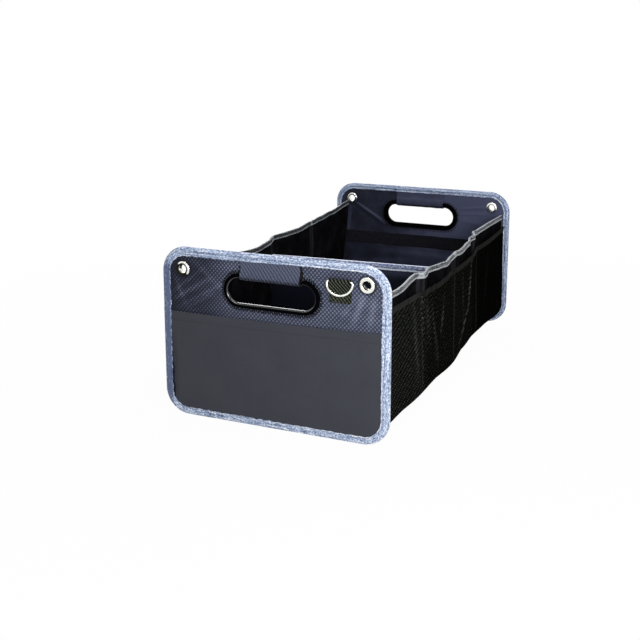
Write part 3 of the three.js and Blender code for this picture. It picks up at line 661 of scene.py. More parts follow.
def panel_binding(end):
    """Binding tape folded over the panel's edge, its end lapped over its start at the bottom."""
    def seat(x, z):
        """Middle of a leg of the tape, which stands further out over the pocket and the grip."""
        over_pocket = ease(POCKET_TOP + 6, POCKET_TOP - 4, z) if end == "front" else 0 * z
        over_grip = ease(49, 44, np.abs(x)) * ease(213, 217, z)
        return COVER_OUT + 0.55 + 1.05 * over_pocket + 0.9 * over_grip

    def drawn_up(x, z):
        """Share of its width that the outer leg lacks along the top, more to the right."""
        return 0.24 * ease(-100, 70, x) * ease(152, 120, x) * ease(222, 229, z) * (end == "front")

    path = outline(PANEL_WIDTH, PANEL_HEIGHT, PANEL_CORNER, PANEL_HEIGHT / 2)
    xs = np.array([row[0] for row in path])
    zs = np.array([row[1] for row in path])
    girth = np.hypot(np.diff(xs), np.diff(zs)).sum()
    lap, start, inset_of_seam = 13, -52, 9.1
    section = rounded([(-BINDING_REACH + 0.3, -1), (-3.2, -1), (-1.2, -0.72), (-0.5, -0.2),
                       (-0.5, 0.2), (-1.2, 0.72), (-3.2, 1), (-BINDING_REACH + 0.3, 1)], 3)

    def place(along, over):
        reach = start + along * (girth + lap)
        x, z, out_x, out_z = along_line(path, (reach / girth) % 1)
        inward, side = along_line(section, over)
        narrow = 0.1 * np.maximum(ease(130, 150, x) * (end == "front"), ease(30, 8, z))
        narrow = narrow + drawn_up(x, z)
        narrow = np.where(side > 0, narrow, 0.16)
        ragged = 0.5 * wander(reach, 200 * (side > 0), 8, 11) * ease(6, 11, -inward)
        u = inward * (1 - narrow) + ragged
        puff = 0.3 * wander(reach, inward * 3, 13, 12) * ease(1, 8, -inward)
        groove = -0.4 * ridge(inward, -9.6, 0.9)
        ridges = 0.3 * wander(reach / 7, inward * 2.6, 8, 14) * ease(1, 4, -inward)
        lapped = 0.6 * ease(girth, girth + 1.5, along * (girth + lap))
        legs = seat(x + out_x * inward, z + out_z * inward)
        off = side * np.where(side > 0, legs, np.minimum(legs, COVER_OUT + 1.45))
        lift = (puff + groove + ridges + lapped) * np.sign(side) * ease(0.3, 1, np.abs(side))
        return on_panel(end, x + out_x * u, off + lift, z + out_z * u)

    def marks(x, y, z):
        aside = np.abs(x) - PANEL_WIDTH / 2 + PANEL_CORNER
        above = np.abs(z - PANEL_HEIGHT / 2) - PANEL_HEIGHT / 2 + PANEL_CORNER
        beyond = np.hypot(np.maximum(aside, 0), np.maximum(above, 0))
        inset = PANEL_CORNER - beyond - np.minimum(np.maximum(aside, above), 0)
        # Painted highlight lines along the tape, 3 and 8 mm in from the panel's edge, with the tape
        # darker between them
        lines = ridge(inset, 3, 1.3) + ridge(inset, 8, 1.2) - 0.7
        if end == "rear":
            return 0.16 * lines - 0.03
        # Front: stronger painted highlight lines along the middle of the top, painted light towards
        # the top right, painted shade down the left side, darkest towards its inner edge, and uneven
        # mottling along the bottom
        left = ease(-146, -152, x) * ease(226, 196, z)
        top = ease(135, 110, np.abs(x)) * ease(212, 218, z)
        low = 0.14 * wander(x, 4 * z, 16, 71) * ease(20, 12, z)
        right = 0.04 * ease(20, 90, x) * ease(212, 220, z)
        return (0.04 + 0.12 * top) * lines + low + right - (0.27 + 0.2 * ease(6, 9, inset)) * left

    piece = cloth(f"{end}_binding_tape", 420, 36, ((girth + lap) * MM, 0.029), place,
                  CLOTH_THICK, marks=marks)
    dressed(piece, PANEL_TAPE, f"{end}_binding")

    count = int(girth / 4)
    shares = (np.arange(count) + 0.5) / count
    for side, sign in (("outer", 1), ("inner", -1)):
        x, z, out_x, out_z = along_line(path, shares)
        inset = inset_of_seam * (1 - drawn_up(x, z) * (sign > 0))
        x, z = x - inset * out_x, z - inset * out_z
        off = seat(x, z) + 0.2 if sign > 0 else -np.minimum(seat(x, z) + 0.2, COVER_OUT + 1.65)
        centres = on_panel(end, x, off, z)
        runs = np.column_stack([-out_z, 0 * out_x, out_x])
        sewn(f"{end}_binding_{side}_stitches", centres, runs, [0, FACING[end] * sign, 0], 3.1,
             0.32, GREY_THREAD)


def hand_rim(end):
    """Moulded bead and sleeve of the hand hole, and the flat ring that it snaps into."""
    path = outline(HANDLE_WIDTH, HANDLE_HEIGHT, HANDLE_HEIGHT / 2, HANDLE_Z, 14)[1:-1]
    seat, back = FITTING_SEAT, -FITTING_SEAT
    bead = [(6.3 * (1 - math.cos(turn)) / 2, seat + 3.6 * math.sin(turn) ** 0.8)
            for turn in np.linspace(0.16, math.pi, 22)]
    sleeve = [(6.3, seat - 0.05), (2, seat - 0.05), (2, back - 1.4), (0.5, back - 1.4),
              (0, back - 0.9), (0, seat - 0.6), (0, seat + 0.8)]

    def polished(x, y, z):
        outwards = FACING[end] * (y - MIDDLE[end])
        return ease(1.9, 1.0, off_hand_hole(x, z)) * ease(3.3, 4.2, outwards)

    place = partial(on_panel, end)
    rim = hoop(f"{end}_hand_rim", path, [*bead, *sleeve], place)
    finished(marked(rim, polished), ABS, [f"{end}_handle_rim"], angle=35)
    ring = [(2.3, back), (7.9, back), (8, back - 0.5), (7.3, back - 1.1), (6.4, back - 1.4),
            (3.4, back - 1.4), (2.3, back - 1)]
    finished(hoop(f"{end}_hand_rim_ring", path, ring, place), ABS,
             [f"{end}_handle_rim_back"], angle=35)


def hand_stitches(end):
    """Close black stitches round the rim: teeth on the outer face, a wide ring on the inner."""
    for side, first, last, off, sign, pitch in (
            ("outer", 6.2, 10.4, COVER_OUT + 0.7, 1, 3.2),
            ("inner", 6.2, 11.6, -(COVER_OUT + 1.75), -1, 4.6)):
        grow = (first + last) / 2
        path = outline(HANDLE_WIDTH + 2 * grow, HANDLE_HEIGHT + 2 * grow,
                       HANDLE_HEIGHT / 2 + grow, HANDLE_Z)
        girth = 2 * (HANDLE_WIDTH - HANDLE_HEIGHT) + math.pi * (HANDLE_HEIGHT + 2 * grow)
        count = int(girth / pitch)
        x, z, out_x, out_z = along_line(path, (np.arange(count) + 0.5) / count)
        beside_grip = ~((np.abs(x) < GRIP_HALF + 1) & (z > HANDLE_Z))
        x, z, out_x, out_z = (item[beside_grip] for item in (x, z, out_x, out_z))
        uneven = wander(np.arange(len(x)) * 4.0, 0 * x, 9, 23)
        slant = 0.3 + 0.15 * uneven
        runs = np.column_stack([out_x - slant * out_z, 0 * x, out_z + slant * out_x])
        centres = on_panel(end, x + 0.4 * uneven * out_x, off, z + 0.4 * uneven * out_z)
        sewn(f"{end}_hand_{side}_stitches", centres, runs, [0, FACING[end] * sign, 0],
             last - first + 0.6 + uneven, 1.05, BLACK_THREAD)


def hand_grip(end):
    """Cloth grip folded round the bar over the hand hole, both ends tucked under the binding."""
    front, back, under = 7.3, -5.3, 195.7
    line = rounded([(3.3, 221), (3.3, 212), (4.0, 207), (front, 202.8), (front, under + 2.4),
                    (front - 0.8, under + 0.2), (front - 3, under - 0.3), (back + 3, under - 0.3),
                    (back + 0.8, under + 0.2), (back, under + 2.4), (back, 207), (-3.4, 211),
                    (-3.3, 221)], 3)

    def place(across, over):
        off, z = along_line(line, over)
        side = (across - 0.5) * 2
        x = side * (GRIP_HALF - 0.8 * np.sin(math.pi * over) * np.abs(side) ** 2)
        hem = 0.35 * ease(0.93, 0.97, np.abs(side))
        pull = 0.3 * wander(x, over * 70, 15, 21) * ease(1, 0.85, np.abs(side))
        outward = np.where(off > 1, 1, -1)
        tucked = ease(0.1, 0.2, over) * ease(0.9, 0.8, over)
        return on_panel(end, x, off + outward * (hem + np.abs(pull)) * tucked,
                        z + 0.25 * wander(x, 0 * x, 20, 22) * tucked)

    def marks(x, y, z):
        # Painted light towards the top, painted shade along the lower edge, and a painted shadow in
        # the slit at the front grip's right end
        slit_shadow = 1.2 * ease(40.5, 41.2, x) * (end == "front")
        return 0.08 * ease(200, 214, z) - 0.35 * ease(201, 196.5, z) - slit_shadow

    flat = (0.086, 0.072)
    piece = cloth(f"{end}_grip_cloth", 80, 90, flat, place, CLOTH_THICK, marks=marks)
    dressed(piece, GRIP_CLOTH if end == "front" else LINING,
            f"{end}_handle_grip")
    off, z = along_line(line, np.linspace(0.12, 0.33, 12))
    for side, sign, length in (("left", -1, 1.6), ("right", 1, 2.6)):
        centres = on_panel(end, 0 * z + sign * (GRIP_HALF + 0.6), 0.5 * off + 1.6, z)
        sewn(f"{end}_grip_bar_tack_{side}", centres, [1, 0, 0.25 * sign], [0, FACING[end], 0],
             length, 1.2, BLACK_THREAD)


def eyelets(end):
    """Pressed eyelets with a rolled flange outside, and their washers inside."""
    seat, back = FITTING_SEAT, -FITTING_SEAT
    turns = np.linspace(0, 2 * math.pi, 48, endpoint=False)
    flange = [(EYELET_HOLE, back - 1.5), (EYELET_HOLE, seat + 0.5), (5.8, seat + 1.0),
              (6.4, seat + 1.4), (7.3, seat + 1.5), (8.5, seat + 1.3), (9.5, seat + 0.85),
              (EYELET_FLANGE, seat + 0.3), (EYELET_FLANGE - 0.1, seat), (EYELET_NECK, seat),
              (EYELET_NECK, back - 1.35), (7.5, back - 1.4), (7.6, back - 1.75),
              (6.6, back - 2.05), (5.7, back - 1.9)]
    washer = [(6.5, back), (8.9, back), (9, back - 0.3), (8.4, back - 0.8), (7.8, back - 1.05),
              (6.5, back - 1.05)]
    place = partial(on_panel, end)
    for side, middle in (("left", -EYELET_X), ("right", EYELET_X)):
        high = EYELET_Z[end][side]
        path = [(middle, high, math.cos(turn), math.sin(turn)) for turn in turns]

        def shaded(x, y, z, middle=middle, high=high):
            """Painted shade: darker in the throat on the right; on the left, a painted shadow line
            round the lip and painted shade on the flange's lower left, turned away from the lamp.
            """
            reach = np.hypot(x - middle, z - high)
            if middle > 0:
                return 0.55 * ease(6.0, 5.6, reach)
            turned_away = ease(3, -3, x - middle + z - high)
            lip = ease(5.4, 5.8, reach) * ease(8, 7.4, reach)
            return 0.7 * np.maximum(lip, ease(7.4, 8, reach) * turned_away)

        pressed = marked(hoop(f"{end}_eyelet_{side}_pressed", path, flange, place), shaded)
        finished(pressed, NICKEL, [f"{end}_eyelet_{side}"], angle=40)
        finished(hoop(f"{end}_eyelet_{side}_washer", path, washer, place), NICKEL,
                 [f"{end}_eyelet_washer_{side}"], angle=40)


def loop_tape(end):
    """Loop tape sewn across the lining, with a stitched border along both its edges."""
    half = PANEL_WIDTH / 2 - BINDING_REACH - 0.4
    off = -(COVER_OUT + 0.8)

    def place(across, up):
        x = (across - 0.5) * 2 * half
        z = TAPE_TOP - TAPE_HEIGHT * (1 - up) + 0.35 * wander(x, 0 * x, 60, 31)
        border = -0.3 * ridge(np.abs(up - 0.5), 0.42, 0.05)
        return on_panel(end, x, off + border - 0.18 * np.abs(wander(x, z, 24, 32)), z)

    piece = cloth(f"{end}_loop_pile_tape", 180, 20, (2 * half * MM, TAPE_HEIGHT * MM), place,
                  CLOTH_THICK)
    dressed(piece, LOOPS, f"{end}_loop_tape")
    xs = np.arange(-half + 3, half - 3, 3.8)
    for edge, z in (("low", TAPE_TOP - TAPE_HEIGHT + 1.8), ("high", TAPE_TOP - 1.8)):
        sewn(f"{end}_loop_tape_{edge}_stitches", on_panel(end, xs, off - 0.5, z), ALONG_X,
             [0, -FACING[end], 0], 2.9, 0.28, BLACK_THREAD)


def flat_pocket():
    """Flat front pocket: sewn in under the binding, slack at its mouth and at its left edge."""
    reach = PANEL_WIDTH / 2 - POCKET_MARGIN

    def place(across, up):
        z = 4 + up * (POCKET_TOP - 4)
        bare = 4 * ease(10, 30, z) * ease(100, 60, z) * (0.75 + 0.25 * wander(z, 0 * z, 12, 41))
        left = -reach + (POCKET_MARGIN + bare) * ease(10, 24, z) * ease(112, 84, z)
        x = left + (reach - left) * across
        belly = np.sin(math.pi * np.clip(across, 0, 1)) ** 0.8
        out = 1.5 * belly * ease(PANEL_CORNER, POCKET_TOP, z)
        slack = 0.28 * np.abs(wander(x, z, 70, 42)) + folds(x, z, [
            (-118, 138, -40, 142, 5, 0.35), (60, 140, 138, 128, 6, 0.35),
            (-130, 34, -96, 70, 7, 0.35), (96, 30, 132, 74, 8, 0.3)])
        hem = 0.35 * ease(POCKET_TOP - 13, POCKET_TOP - 11.5, z)
        mouth = -0.25 * ridge(z, POCKET_TOP - 12.6, 0.8)
        edge = np.minimum(PANEL_WIDTH / 2 - np.abs(x), z)
        off = POCKET_IN + 0.45 + (out + slack + mouth) * ease(11, 26, edge) + hem * belly
        tilt = -4 * (1 - across) * ease(POCKET_TOP - 60, POCKET_TOP, z)
        sag = -0.8 * np.sin(math.pi * across) * ease(POCKET_TOP - 20, POCKET_TOP, z)
        return on_panel("front", x, off, z + tilt + sag - 0.6)

    def marks(x, y, z):
        # Painted shadow along the pocket's slack left edge, by the binding
        return -0.5 * ease(-136, -149, x) * ease(12, 24, z) * ease(118, 84, z) + 0 * y

    piece = cloth("front_pocket_cloth", 190, 90, (0.308, 0.143), place, 0.75,
                  lambda x, y, z: outside_corner(x, z, SEWN_MARGIN), marks)
    dressed(piece, POCKET_CLOTH, "front_pocket")
    xs = np.arange(-144, 145, 3.6)
    aside = xs / (2 * reach)
    belly = np.sin(math.pi * (aside + 0.5)) ** 0.8
    centres = on_panel("front", xs, POCKET_IN + 0.9 + 1.5 * belly * 0.95,
                       POCKET_TOP - 13.2 - 3.8 * (0.5 - aside))
    sewn("front_pocket_hem_stitches", centres, ALONG_X, [0, FACING["front"], 0], 2.8, 0.22,
         HEM_THREAD)


TAB_HALF_THICK = WEBBING_THICK / 2
TAB_BACK = FITTING_SEAT + TAB_HALF_THICK
TAB_TURN = RING_WIRE + 2 * TAB_HALF_THICK
RING_OFF = TAB_BACK + TAB_TURN


def ring_tab():
    """Webbing folded over the ring's bar and sewn down in a box of stitches."""
    turn = [(RING_OFF - TAB_TURN * math.cos(k), RING_Z + TAB_TURN * math.sin(k))
            for k in np.linspace(0, math.pi, 9)]
    tail = TAB_BACK + 1.5
    line = rounded([(TAB_BACK, TAB_TAIL), (TAB_BACK, RING_Z - 4), *turn, (tail + 0.4, RING_Z - 13),
                    (tail, RING_Z - 17), (tail, TAB_TAIL)], 2)

    def place(across, over):
        off, z = along_line(line, over)
        side = (across - 0.5) * 2
        x = TAB_X + side * TAB_WIDTH / 2
        ribs = 0.1 * np.cos(2 * math.pi * across * 11)
        return on_panel("front", x, off + ribs * np.where(over > 0.5, 1, 0), z)

    flat = (0.028, 0.062)
    piece = cloth("ring_tab_webbing", 66, 90, flat, place, WEBBING_THICK)
    dressed(piece, WEBBING, "d_ring_tab")
    box = [(-11.5, 181.5), (11.5, 181.5), (11.5, 188.5), (-11.5, 188.5), (-11.5, 181.5),
           (11.5, 188.5), (11.5, 181.5), (-11.5, 188.5)]
    centres, runs = [], []
    for (x0, z0), (x1, z1) in zip(box, box[1:]):
        length = math.hypot(x1 - x0, z1 - z0)
        count = max(2, round(length / 2.6))
        for k in range(count):
            share = (k + 0.5) / count
            centres.append((TAB_X + x0 + (x1 - x0) * share,
                            MIDDLE["front"] - (tail + 0.75), z0 + (z1 - z0) * share))
            runs.append((x1 - x0, 0.0, z1 - z0))
    sewn("ring_tab_stitches", zip(*centres), runs, [0, FACING["front"], 0], 2.1, 0.34,
         OLIVE_THREAD)


def hanging_ring():
    """D ring bent from 3 mm wire, hanging from its straight bar."""
    half, low = RING_WIDTH / 2, RING_DROP - RING_CORNER
    rows = []
    for centre_x, start, end, steps in ((half - RING_CORNER, 0, 90, 6),
                                        (RING_CORNER - half, 90, 180, 6)):
        for turn in np.radians(np.linspace(start, end, steps)):
            rows.append((centre_x + RING_CORNER * math.cos(turn),
                         RING_CORNER * (math.sin(turn) - 1), math.cos(turn), math.sin(turn)))
    for turn in np.radians(np.linspace(180, 360, 40))[1:-1]:
        slope = np.array([math.cos(turn) / half, math.sin(turn) / low])
        slope /= np.hypot(*slope)
        rows.append((half * math.cos(turn), -RING_CORNER + low * math.sin(turn), *slope))
    wire = [(RING_WIRE * math.cos(turn), RING_WIRE * math.sin(turn))
            for turn in np.linspace(0, 2 * math.pi, 14, endpoint=False)]
    lean = math.radians(RING_TILT)

    def place(x, off, z):
        return on_panel("front", TAB_X + x, RING_OFF + off * math.cos(lean) - z * math.sin(lean),
                        RING_Z + off * math.sin(lean) + z * math.cos(lean))

    finished(hoop("d_ring_wire", rows, wire, place), NICKEL, ["d_ring"],
             body="ring", angle=60)


# Walls and pockets

def stepped(rows, y):
    """Value at y of a smooth line through given places."""
    places = np.array([row[0] for row in rows], float)
    values = np.array([row[1] for row in rows], float)
    k = np.clip(np.searchsorted(places, y, side="left"), 1, len(rows) - 1)
    share = ease(0, 1, (y - places[k - 1]) / (places[k] - places[k - 1]))
    return values[k - 1] + (values[k] - values[k - 1]) * share


def wall_y(along):
    """Place along Y at a share of the wall's length."""
    return (along - 0.5) * 2 * WALL_END


def top_at(side, y):
    """Height of a wall's upper edge."""
    return stepped(TOPS[side], y)


def drift_at(side, y):
    """How far a wall's upper edge is drawn in."""
    return stepped(DRIFTS[side], y)


def corner_at(y):
    """Radius of the turn from the bottom cloth into the wall."""
    return stepped(CORNERS, y)


def foot_at(y, z):
    """How far the lower part of a wall is drawn in."""
    return stepped(FOOT_DRIFT, y) * ease(200, 60, z)


def girth_at(y, z):
    """Length of cloth from the bottom seam up to a height."""
    corner = corner_at(y)
    return corner * math.pi / 2 + z - BASE_MID - corner


def wall_place(side, drawn, y, girth, off=0):
    """x and z of a wall's middle at a girth up from the bottom seam, with a distance outwards."""
    corner = corner_at(y)
    arc = corner * math.pi / 2
    turn = np.clip(girth / arc, 0, 1) * math.pi / 2
    z = BASE_MID + corner * (1 - np.cos(turn)) + np.maximum(girth - arc, 0)
    x = WALL_MID - corner * (1 - np.sin(turn)) - foot_at(y, z)
    x = x - drawn * ease(BASE_MID + corner, top_at(side, y), z)
    return x + off * np.sin(turn), z - off * np.cos(turn)


def bay_at(y):
    """Which of the bays between the folds a place is in, and how far across that bay."""
    share = (y + WALL_END) / (2 * WALL_END) * BAYS
    bay = np.clip(np.floor(share), 0, BAYS - 1).astype(int)
    return bay, np.clip(share - bay, 0, 1)


def by_bay(values, y):
    """Value between those given at the folds."""
    bay, across = bay_at(y)
    values = np.array(values, float)
    return values[bay] + (values[bay + 1] - values[bay]) * across


def mouth_at(y):
    """Height of the net pockets' mouths, which dip between the folds."""
    bay, across = bay_at(y)
    return by_bay(MOUTH_TOPS, y) - np.array(MOUTH_SAG, float)[bay] * np.sin(math.pi * across)


def net_place(side, y, girth, share, off=0.0):
    """x and z of a side's net: sewn down at the folds, slack between, and never in the wall."""
    stand = (WALL_THICK + 0.8) / 2 + MESH_CLEAR
    x, z = wall_place(side, by_bay(SEAM_DRIFTS[side], y), y, girth,
                      stand + off + slack_at(y, girth, share, 71 + (side == "left")))
    corner = corner_at(y)
    drawn = drift_at(side, y) * ease(BASE_MID + corner, top_at(side, y), z)
    wall = WALL_MID - foot_at(y, z) - drawn
    return np.where(z > BASE_MID + corner, np.maximum(x, wall + 1.9 + off), x), z


def slack_at(y, girth, share, seed):
    """How far the net stands off the wall: a belly in each bay, with creases and gathers."""
    bay, across = bay_at(y)
    belly = np.sin(math.pi * across) ** 0.75
    height = girth - corner_at(y) * 0.57 + BASE_MID
    gathers = np.abs(wander(y, height * 0.12, 22, seed, 9)) * np.array([0.8, 1.6, 1.4, 1.2])[bay]
    creases = folds(y, height, NET_CREASES)
    bulge = np.array(NET_BULGES)[bay] * belly * (0.08 + 0.92 * share)
    return bulge + (creases - gathers * (0.3 + 0.7 * share)) * belly * ease(0, 0.2, share)


def side_wall(side):
    """Soft side wall, sewn to the end panels and creased where the organiser folds."""
    sign = OUTWARD[side]

    def place(along, up):
        y = wall_y(along)
        girth = up * girth_at(y, top_at(side, y))
        rise = ease(BASE_MID + 30, 190, wall_place(side, 0, y, girth)[1])
        slack = 0.55 * wander(y, girth, 46, 51 + sign) + 0.35 * wander(y, girth * 0.4, 17, 53 + sign)
        for fold in WALL_CREASES:
            slack = slack - 0.5 * ridge(y, fold, 4)
        held = ease(0, 14, WALL_END - np.abs(y)) * ease(0, 12, girth)
        off = np.clip(slack, -0.9, 0.45) * held * (1 - rise * 0.3)
        x, z = wall_place(side, drift_at(side, y), y, girth, off)
        return sign * x, y + SHIFT, z

    def marks(x, y, z):
        # Painted highlights on both sides of each seam line
        seam_highlights = sum(ridge(y - SHIFT, fold + aside, 1.7)
                    for fold in SEAM_LINES for aside in (-3.4, 3.4))
        return 0.3 * seam_highlights - 0.22

    piece = cloth(f"{side}_wall_cloth", 260, 70, (0.58, 0.19), place, WALL_THICK, marks=marks)
    dressed(piece, WALL_CLOTH, f"{side}_wall")


def wall_edging(side):
    """Tape folded over the wall's top edge, a little slack in its legs."""
    leg, half, sign = 6.4, WALL_THICK / 2 + 0.7, OUTWARD[side]
    section = rounded([(-half - 0.05, -leg), (-half, -1.5), (-half + 0.3, 0.4), (-0.6, 0.8),
                       (0.6, 0.8), (half - 0.3, 0.4), (half, -1.5), (half + 0.05, -leg)], 3)

    def place(along, over):
        y = wall_y(along)
        out, up = along_line(section, over)
        ahead = drift_at(side, y + 0.5) - drift_at(side, y - 0.5)
        lean = 1 / np.sqrt(1 + ahead ** 2)
        top = top_at(side, y)
        x, _ = wall_place(side, drift_at(side, y), y, girth_at(y, top + np.minimum(up, 0)))
        wave = 0.25 * wander(y, 60 * (out > 0), 14, 61 + sign) * ease(0, 6, -up)
        hem = -0.25 * ridge(up, -4.6, 0.7)
        reach = out + np.sign(out) * (np.abs(wave) + hem * ease(2, 4, -up))
        frayed = 0.4 * wander(y, 90 * (out > 0), 8, 63 + sign) * ease(5, 9, -up)
        return sign * (x + reach * lean), y + SHIFT + reach * ahead * lean, top + up + frayed

    def marks(x, y, z):
        # Painted highlights at the pleats of the tape, and painted shade along all of the left wall's
        # edging
        net_knots_and_pleat_highlights = sum(ridge(y - SHIFT, fold, 3.5) for fold in EDGING_PLEAT_HIGHLIGHTS)
        return 0.35 * net_knots_and_pleat_highlights - 0.12 * (x < 0)

    flat = (0.6, 0.0195)
    piece = cloth(f"{side}_wall_edging_tape", 380, 28, flat, place, NARROW_CLOTH_THICK,
                  marks=marks)
    dressed(piece, EDGE_TAPE, f"{side}_wall_edging")


def net_pockets(side):
    """Row of gathered net pockets, with elastic round their mouths and a seam at each fold."""
    sign = OUTWARD[side]

    def place(along, up):
        y = wall_y(along)
        arc = corner_at(y) * math.pi / 2
        foot, mouth = 0.5 * arc, girth_at(y, mouth_at(y) - ELASTIC_HEIGHT + 1.5)
        girth = foot + (mouth - foot) * up
        share = 0.16 * ease(0.5, 1, girth / arc) + 0.78 * np.clip((girth - arc) / (mouth - arc), 0, 1)
        x, z = net_place(side, y, girth, share)
        return sign * x, y + SHIFT, z

    def marks(x, y, z):
        # Painted highlights along the creases and the seams
        fold_and_seam_highlights = 0.28 * folds(y - SHIFT, z, NET_CREASES)
        fold_and_seam_highlights = fold_and_seam_highlights + 0.1 * sum(ridge(y - SHIFT, fold, 2.5) for fold in NET_SEAMS)
        # Painted shade over the rear bays, and a little over all but the front bay
        return fold_and_seam_highlights - 0.22 * ease(90, 190, y) - 0.12 * ease(-150, -120, y)

    piece = cloth(f"{side}_net_pockets", 380, 60, (0.72, 0.15), place, 0.8, marks=marks)
    dressed(piece, NET, f"{side}_mesh_pockets")

    def band(along, up):
        y = wall_y(along)
        foot = girth_at(y, mouth_at(y) - ELASTIC_HEIGHT)
        girth = foot + ELASTIC_HEIGHT * up
        bay, across = bay_at(y)
        pinch = np.array([0.1, 0.4, 0.4, 0.35])[bay] * np.cos(2 * math.pi * y / 4.4 + 2 * up)
        puff = 0.35 * np.sin(math.pi * up)
        x, z = net_place(side, y, girth, 0.94 + 0.06 * up, 0.2 + pinch + puff)
        return sign * x, y + SHIFT, z

    piece = cloth(f"{side}_pocket_elastic_band", 560, 10, (0.58, 0.009), band, WEBBING_THICK)
    dressed(piece, ELASTIC, f"{side}_pocket_elastic")

    for number, fold in enumerate(NET_SEAMS, 1):
        heights = np.arange(30, float(top_at(side, np.array(fold))) - 10, 3.6)
        y = np.full(len(heights), fold)
        girth = girth_at(y, heights)
        bare = wall_place(side, drift_at(side, y), y, girth, 1.0)[0]
        net = net_place(side, y, girth, 0, 0.6)[0]
        x = np.where(heights < mouth_at(y), net, bare)
        for row, aside in (("a", -1.6), ("b", 1.6)):
            sewn(f"{side}_seam_{number}_stitches_{row}", (sign * x, y + SHIFT + aside, heights),
                 ALONG_Z, [sign, 0, 0], 2.8, 0.35, SEAM_THREAD)


# Floor and divider

def bottom_cloth():
    """Bottom cloth between the lower corners of the walls."""
    def place(along, across):
        y = wall_y(along)
        half = WALL_MID - corner_at(y) - stepped(FOOT_DRIFT, y) - 0.3
        x = (across - 0.5) * 2 * half
        return -x, y + SHIFT, BASE_MID + 0.25 * wander(x, y, 60, 81) * ease(0, 20, half - np.abs(x))

    piece = cloth("bottom_cloth_sheet", 150, 70, (0.58, 0.27), place, WALL_THICK)
    dressed(piece, WALL_CLOTH, "bottom_cloth")


def base_insert():
    """Folding base insert: a quilted sleeve of cloth over four boards, sewn through at its folds."""
    half, reach = WALL_MID - END_CORNER, WALL_END - 1.5
    pitch = 2 * reach / 4
    low, high = 11.55, 14.85

    def top(along, across):
        y = (along - 0.5) * 2 * reach
        x = (across - 0.5) * 2 * half
        to_fold = np.abs((y + reach + pitch / 2) % pitch - pitch / 2)
        rise = ease(0.8, 3.6, to_fold) * (1 - 0.35 * ease(4, 0, half - np.abs(x)))
        slack = 0.3 * np.abs(wander(x, y, 40, 91)) * ease(3, 12, to_fold) + folds(
            y, x, [(k * pitch + s * 14, -60, k * pitch + s * 9, 70, 4, 0.3)
                   for k in (-1, 0, 1) for s in (-1, 1)])
        return x, y + SHIFT, low + (high - low) * rise + np.minimum(slack, 0.6)

    flat, threads = (0.577, 0.249), (0.577, 0.2484)
    piece = cloth("insert_top_cloth", 290, 60, threads, lambda a, b: top(a, 1 - b), CLOTH_THICK)
    dressed(piece, LINING, "base_insert_top_cloth")

    def under(along, across):
        y, x = (along - 0.5) * 2 * reach, (across - 0.5) * 2 * half
        return x, y + SHIFT, 10.35 + 0.1 * wander(x, y, 50, 92)

    piece = cloth("insert_under_cloth", 120, 50, threads, lambda a, b: under(a, 1 - b), 0.85)
    dressed(piece, LINING, "base_insert_under_cloth")
    xs = np.arange(-half + 4, half - 3, 3.8)
    for number, fold in ((1, -pitch), (3, pitch)):
        sewn(f"insert_fold_{number}_stitches", (xs, fold + SHIFT, low + 0.55), ALONG_X, UPWARDS,
             2.9, 0.3, BLACK_THREAD)


